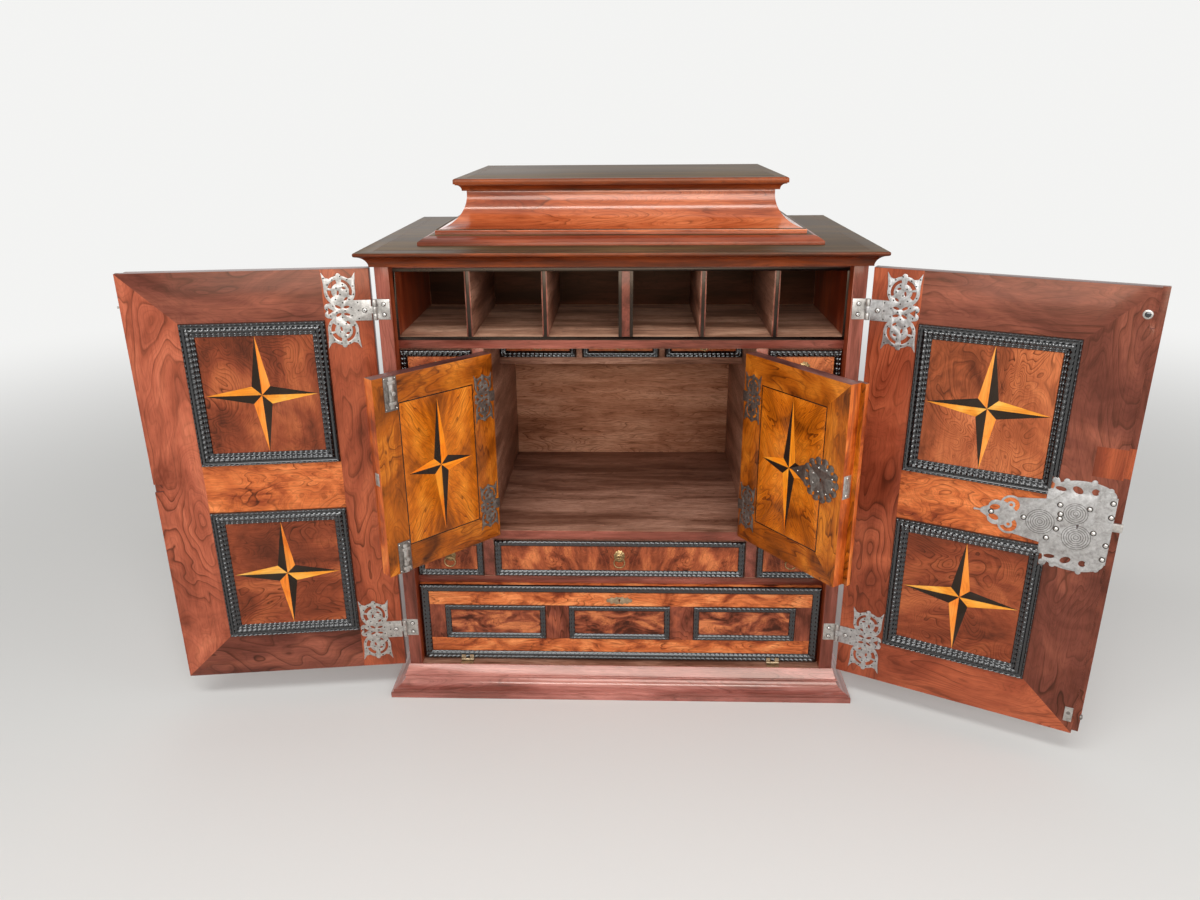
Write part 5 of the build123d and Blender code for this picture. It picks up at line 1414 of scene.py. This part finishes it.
# %% Nails and screws of the outer hinges
for word, side in (("left", -1), ("right", 1)):
    door = word + "_outer_door"
    screws = [on_door(side, 12.8, z * 1000, 0.0002, 0.0042) for z in HINGE_Z]
    shade_rings = [on_door(side, 12.8, z * 1000, size=0.0050) for z in HINGE_Z]
    nails = [(x, PLATE_TOP, z, TURN_IN, 0.0014) for mid in HINGE_Z
             for x, z in spots_on_metal(word + "_outer_ironwork", side, mid)]
    # the dark disc under each strap screw is painted shade
    copies(word + "_strap_halos", door, SEAT, shade_rings, "nail_iron")
    copies(word + "_strap_screws", door, SCREW, screws, "stud_iron")
    copies(word + "_plate_nails", door, NAIL, nails, "nail_iron")
    print(word, "plate nails:", len(nails))
# the dark discs under the leaf screws are painted shade
for name, pattern, lift, size, finish in (("leaf_halos", SEAT, 0.0, 0.0043, "nail_iron"),
                                          ("leaf_screws", SCREW, 0.0002, 0.0036, "stud_iron")):
    spots = [(side * 0.4330, FRONT_Y - 0.0012 - lift, z + dz, TURN_OUT, size)
             for side in (-1, 1) for z in HINGE_Z for dz in (-0.0098, 0.0098)]
    copies(name, "carcass", pattern, spots, finish)
print("leaf screws:", len(spots))

# %% Rivets of the locks and screws of the bolts
LOCK_RIVETS = ((357, 513), (360, 496), (360, 487), (357, 467), (344, 447), (403, 514), (415, 471),
               (436, 531), (437, 505), (437, 452), (436, 425), (303, 478), (249, 478))
# the dark discs under the lock rivets are painted shade
for name, pattern, size, finish in (("lock_rivet_seats", SEAT, 0.0052, "nail_iron"),
                                    ("lock_rivets", NAIL, 0.0039, "stud_iron")):
    copies(name, "right_outer_door", pattern, [on_door(1, u, z, size=size) for u, z in LOCK_RIVETS], finish)
PLATE_IN = -0.2110
TURN_FREE, TURN_FREE_LEFT = (0, radians(-90), 0), (0, radians(90), 0)
angles = [radians(45 * k + 20) for k in range(8)]
spots = [(0.045 + 0.024 * cos(a), PLATE_IN, 0.553 + 0.024 * sin(a), TURN_IN, 0.0017) for a in angles]
spots += [(0.105, PLATE_IN, 0.553, TURN_IN, 0.0015)]
copies("inner_lock_rivets", "right_inner_door", NAIL, spots, "stud_iron")
spots = [(0.0007, -0.2245, z, TURN_FREE, 0.0024) for z in (0.5365, 0.5695)]
copies("edge_plate_screws", "right_inner_door", SCREW, spots, "stud_iron")
spots = [(x, PLATE_IN, z, TURN_IN, 0.0016) for x in (-0.0450, -0.0244)
         for z in (0.6800, 0.7345, 0.3660, 0.4205)]
copies("bolt_plate_screws", "left_inner_door", SCREW, spots, "stud_iron")
print("lock rivets:", len(LOCK_RIVETS) + len(angles) + 1, "bolt plate screws:", len(spots))

# %% [markdown]
# Small work remains along the free edges of the doors: the keeper into which the inner lock
# shoots, a lined socket, a stop plate and two round studs. Where a hinge strap lies over its
# leaf, a thin lap shows. Each is a little block or a turned head.

# %% Small fittings
def blocks(name, body, boxes, finish, soften=0.0004):
    """Small plates, each (x0, x1, y0, y1, z0, z1) in millimetres, with the door shut."""
    work = bmesh.new()
    for x0, x1, y0, y1, z0, z1 in boxes:
        block(Vector((x0, y0, z0)) / 1000, Vector((x1, y1, z1)) / 1000, work)
    soften_edges(work, work.edges[:], soften)
    bmesh.ops.transform(work, matrix=opened(body), verts=work.verts)
    mesh = mesh_from(work, name)
    mesh.materials.append(FINISH[finish])
    return finished(mesh, body)


TOP = PLATE_TOP * 1000
blocks("right_stop_plate", "right_outer_door", [(4, 18, TOP - 2, TOP, 88, 118)], "bright_iron")
# the stop hole and the socket's hole are flat dark discs: painted shade where a hole is
HEADS = (
    ("right_stop_hole", "right", SEAT, (0.011, PLATE_TOP, 0.106, TURN_IN, 0.0036), "dark_iron"),
    ("right_socket", "right", SEAT, on_door(1, 430, 855, -0.0012, 0.0075), "bright_iron"),
    ("right_socket_hole", "right", SEAT, on_door(1, 430, 855, -0.0005, 0.0048), "black_moulding"),
    ("right_edge_stud", "right", NAIL, (-0.0108, -0.2800, 0.096, TURN_FREE, 0.0052), "dark_iron"),
    ("left_edge_stud", "left", NAIL, (-0.0005, -0.2800, 0.124, TURN_FREE_LEFT, 0.0052), "dark_iron"),
)
for name, word, pattern, spot, finish in HEADS:
    copies(name, word + "_outer_door", pattern, [spot], finish)
blocks("left_inner_keeper", "left_inner_door", [(-3, -0.3, -231, -218, 541, 565)], "bright_iron")
for name, door, x0, x1 in (("strap_laps", "left_outer_door", -422.1, -421.3),
                           ("right_strap_laps", "right_outer_door", 421.3, 422.1)):
    laps = [(x0, x1, TOP - 0.5, TOP + 0.3, z - 18.6, z + 18.6) for z in (149, 822.5)]
    blocks(name, door, laps, "bright_iron", 0.0002)
print("small fittings:", 4 + len(HEADS))

# %% [markdown]
# The cabinet stands on a plain pale floor. Far from the cabinet the floor takes the colour of
# the backdrop, but only as the camera sees it or as metal mirrors it, so that no horizon shows
# and the light on the cabinet stays the same. Near the cabinet the floor keeps its shadow.

# %% Floor
BACKDROP = (0.90, 0.90, 0.89, 1)


def sees_backdrop(tree):
    """1 for rays of the camera, off a mirror and through glass, and 0 for light."""
    rays = step(tree, "ShaderNodeLightPath").outputs
    others = sums(tree, "MAXIMUM", rays["Is Glossy Ray"], rays["Is Transmission Ray"])
    return sums(tree, "MAXIMUM", rays["Is Camera Ray"], others)


floor_finish, floor_tree, floor_shader = new_finish("pale_floor")
floor_shader.inputs["Base Color"].default_value = paint(222, 221, 218)
floor_shader.inputs["Roughness"].default_value = 0.9
place = step(floor_tree, "ShaderNodeTexCoord").outputs["Object"]
away = step(floor_tree, "ShaderNodeVectorMath", {0: place}, operation="LENGTH").outputs["Value"]
far = step(floor_tree, "ShaderNodeMapRange", {"Value": away, "From Min": 1.2, "From Max": 4.5},
           interpolation_type="SMOOTHSTEP").outputs[0]
glow = step(floor_tree, "ShaderNodeEmission", {"Color": BACKDROP})
amount = sums(floor_tree, "MULTIPLY", far, sees_backdrop(floor_tree))
either = step(floor_tree, "ShaderNodeMixShader", {0: amount, 1: floor_shader.outputs[0], 2: glow.outputs[0]})
floor_tree.links.new(either.outputs[0], floor_tree.nodes["Material Output"].inputs["Surface"])
floor_mesh = bpy.data.meshes.new("studio_floor")
corners = [(-9, -9, -0.0004), (9, -9, -0.0004), (9, 9, -0.0004), (-9, 9, -0.0004)]
floor_mesh.from_pydata(corners, [], [(0, 1, 2, 3)])
floor_mesh.materials.append(floor_finish)
floor = bpy.data.objects.new("studio_floor", floor_mesh)
bpy.context.scene.collection.objects.link(floor)
floor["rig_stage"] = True
print("floor:", corners[0][:2], "to", corners[2][:2])

# %% [markdown]
# Old polish shows its figure best under large soft lamps. Two wide ones in front give the even
# light, the high one draws bright lines on the beads, and three weak ones lift the right side,
# the top and the back, so that the cabinet reads from every side.

# %% Lamps
def lamp(name, place, target, size, watts):
    """A rectangular area lamp that looks at a point."""
    light = bpy.data.lights.new(name, "AREA")
    light.shape = "RECTANGLE"
    light.size, light.size_y = size
    light.energy = watts
    holder = bpy.data.objects.new(name, light)
    holder.location = place
    aim = Vector(target) - Vector(place)
    holder.rotation_euler = aim.to_track_quat("-Z", "Y").to_euler()
    bpy.context.scene.collection.objects.link(holder)


LAMPS = (("front_high", (-0.5, -2.2, 3.2), (0, -0.2, 0.5), (2.8, 0.5), 50),
         ("front_fill", (0.1, -3.0, 1.5), (0, 0, 0.45), (2.8, 1.0), 47),
         ("right_side", (2.9, -1.4, 1.7), (0, 0, 0.5), (1.6, 1.6), 13),
         ("top", (0, 0.2, 3.4), (0, 0, 0.6), (2.4, 1.6), 6),
         ("back", (-1.5, 3.2, 2.2), (0, 0, 0.5), (2.2, 1.4), 8))
for row in LAMPS:
    lamp(*row)
print("lamps:", len(LAMPS), "watts:", sum(row[-1] for row in LAMPS))

# %% [markdown]
# The world fills the shadows with weak white light. As with the floor, the camera and mirrors
# see the pale backdrop in its place.

# %% World
world = bpy.data.worlds.new("studio")
bpy.context.scene.world = world
world.use_nodes = True
sky = world.node_tree
fill = sky.nodes["Background"]
fill.inputs["Strength"].default_value = 0.38
fill.inputs["Color"].default_value = (1, 1, 1, 1)
pale = step(sky, "ShaderNodeBackground", {"Color": BACKDROP})
either = step(sky, "ShaderNodeMixShader", {0: sees_backdrop(sky), 1: fill.outputs[0], 2: pale.outputs[0]})
sky.links.new(either.outputs[0], sky.nodes["World Output"].inputs["Surface"])
bpy.context.scene.view_settings.view_transform = "Standard"
print("world strength:", round(fill.inputs["Strength"].default_value, 2))

# %% [markdown]
# The camera stands a little above the cabinet and looks down at its front. Three angles turn
# it: yaw from straight ahead, pitch down, and a slight roll. Its axes are built from them.

# %% Camera
CAMERA_PLACE = (0.0214, -1.9179, 1.1636)
yaw, pitch, roll = -0.03535, 0.3567, -0.00815
ahead = Vector((sin(yaw) * cos(pitch), cos(yaw) * cos(pitch), -sin(pitch)))
right = Vector((cos(yaw), -sin(yaw), 0))
above = right.cross(ahead)
right, above = cos(roll) * right + sin(roll) * above, -sin(roll) * right + cos(roll) * above
camera = bpy.data.objects.new("camera", bpy.data.cameras.new("camera"))
camera.data.sensor_width = 36
camera.data.lens = 27.37
camera.data.clip_start = 0.05
turn = Matrix((right, above, -ahead)).transposed().to_4x4()
camera.matrix_world = Matrix.Translation(CAMERA_PLACE) @ turn
bpy.context.scene.collection.objects.link(camera)
bpy.context.scene.camera = camera
print("camera at", [round(v, 3) for v in camera.location])

# %% [markdown]
# Last, the size of the dressed cabinet is printed.

# %% Sizes and the end
visual_box = [list(corner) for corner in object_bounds()]
print("dressed box:", [[round(v, 4) for v in corner] for corner in visual_box])
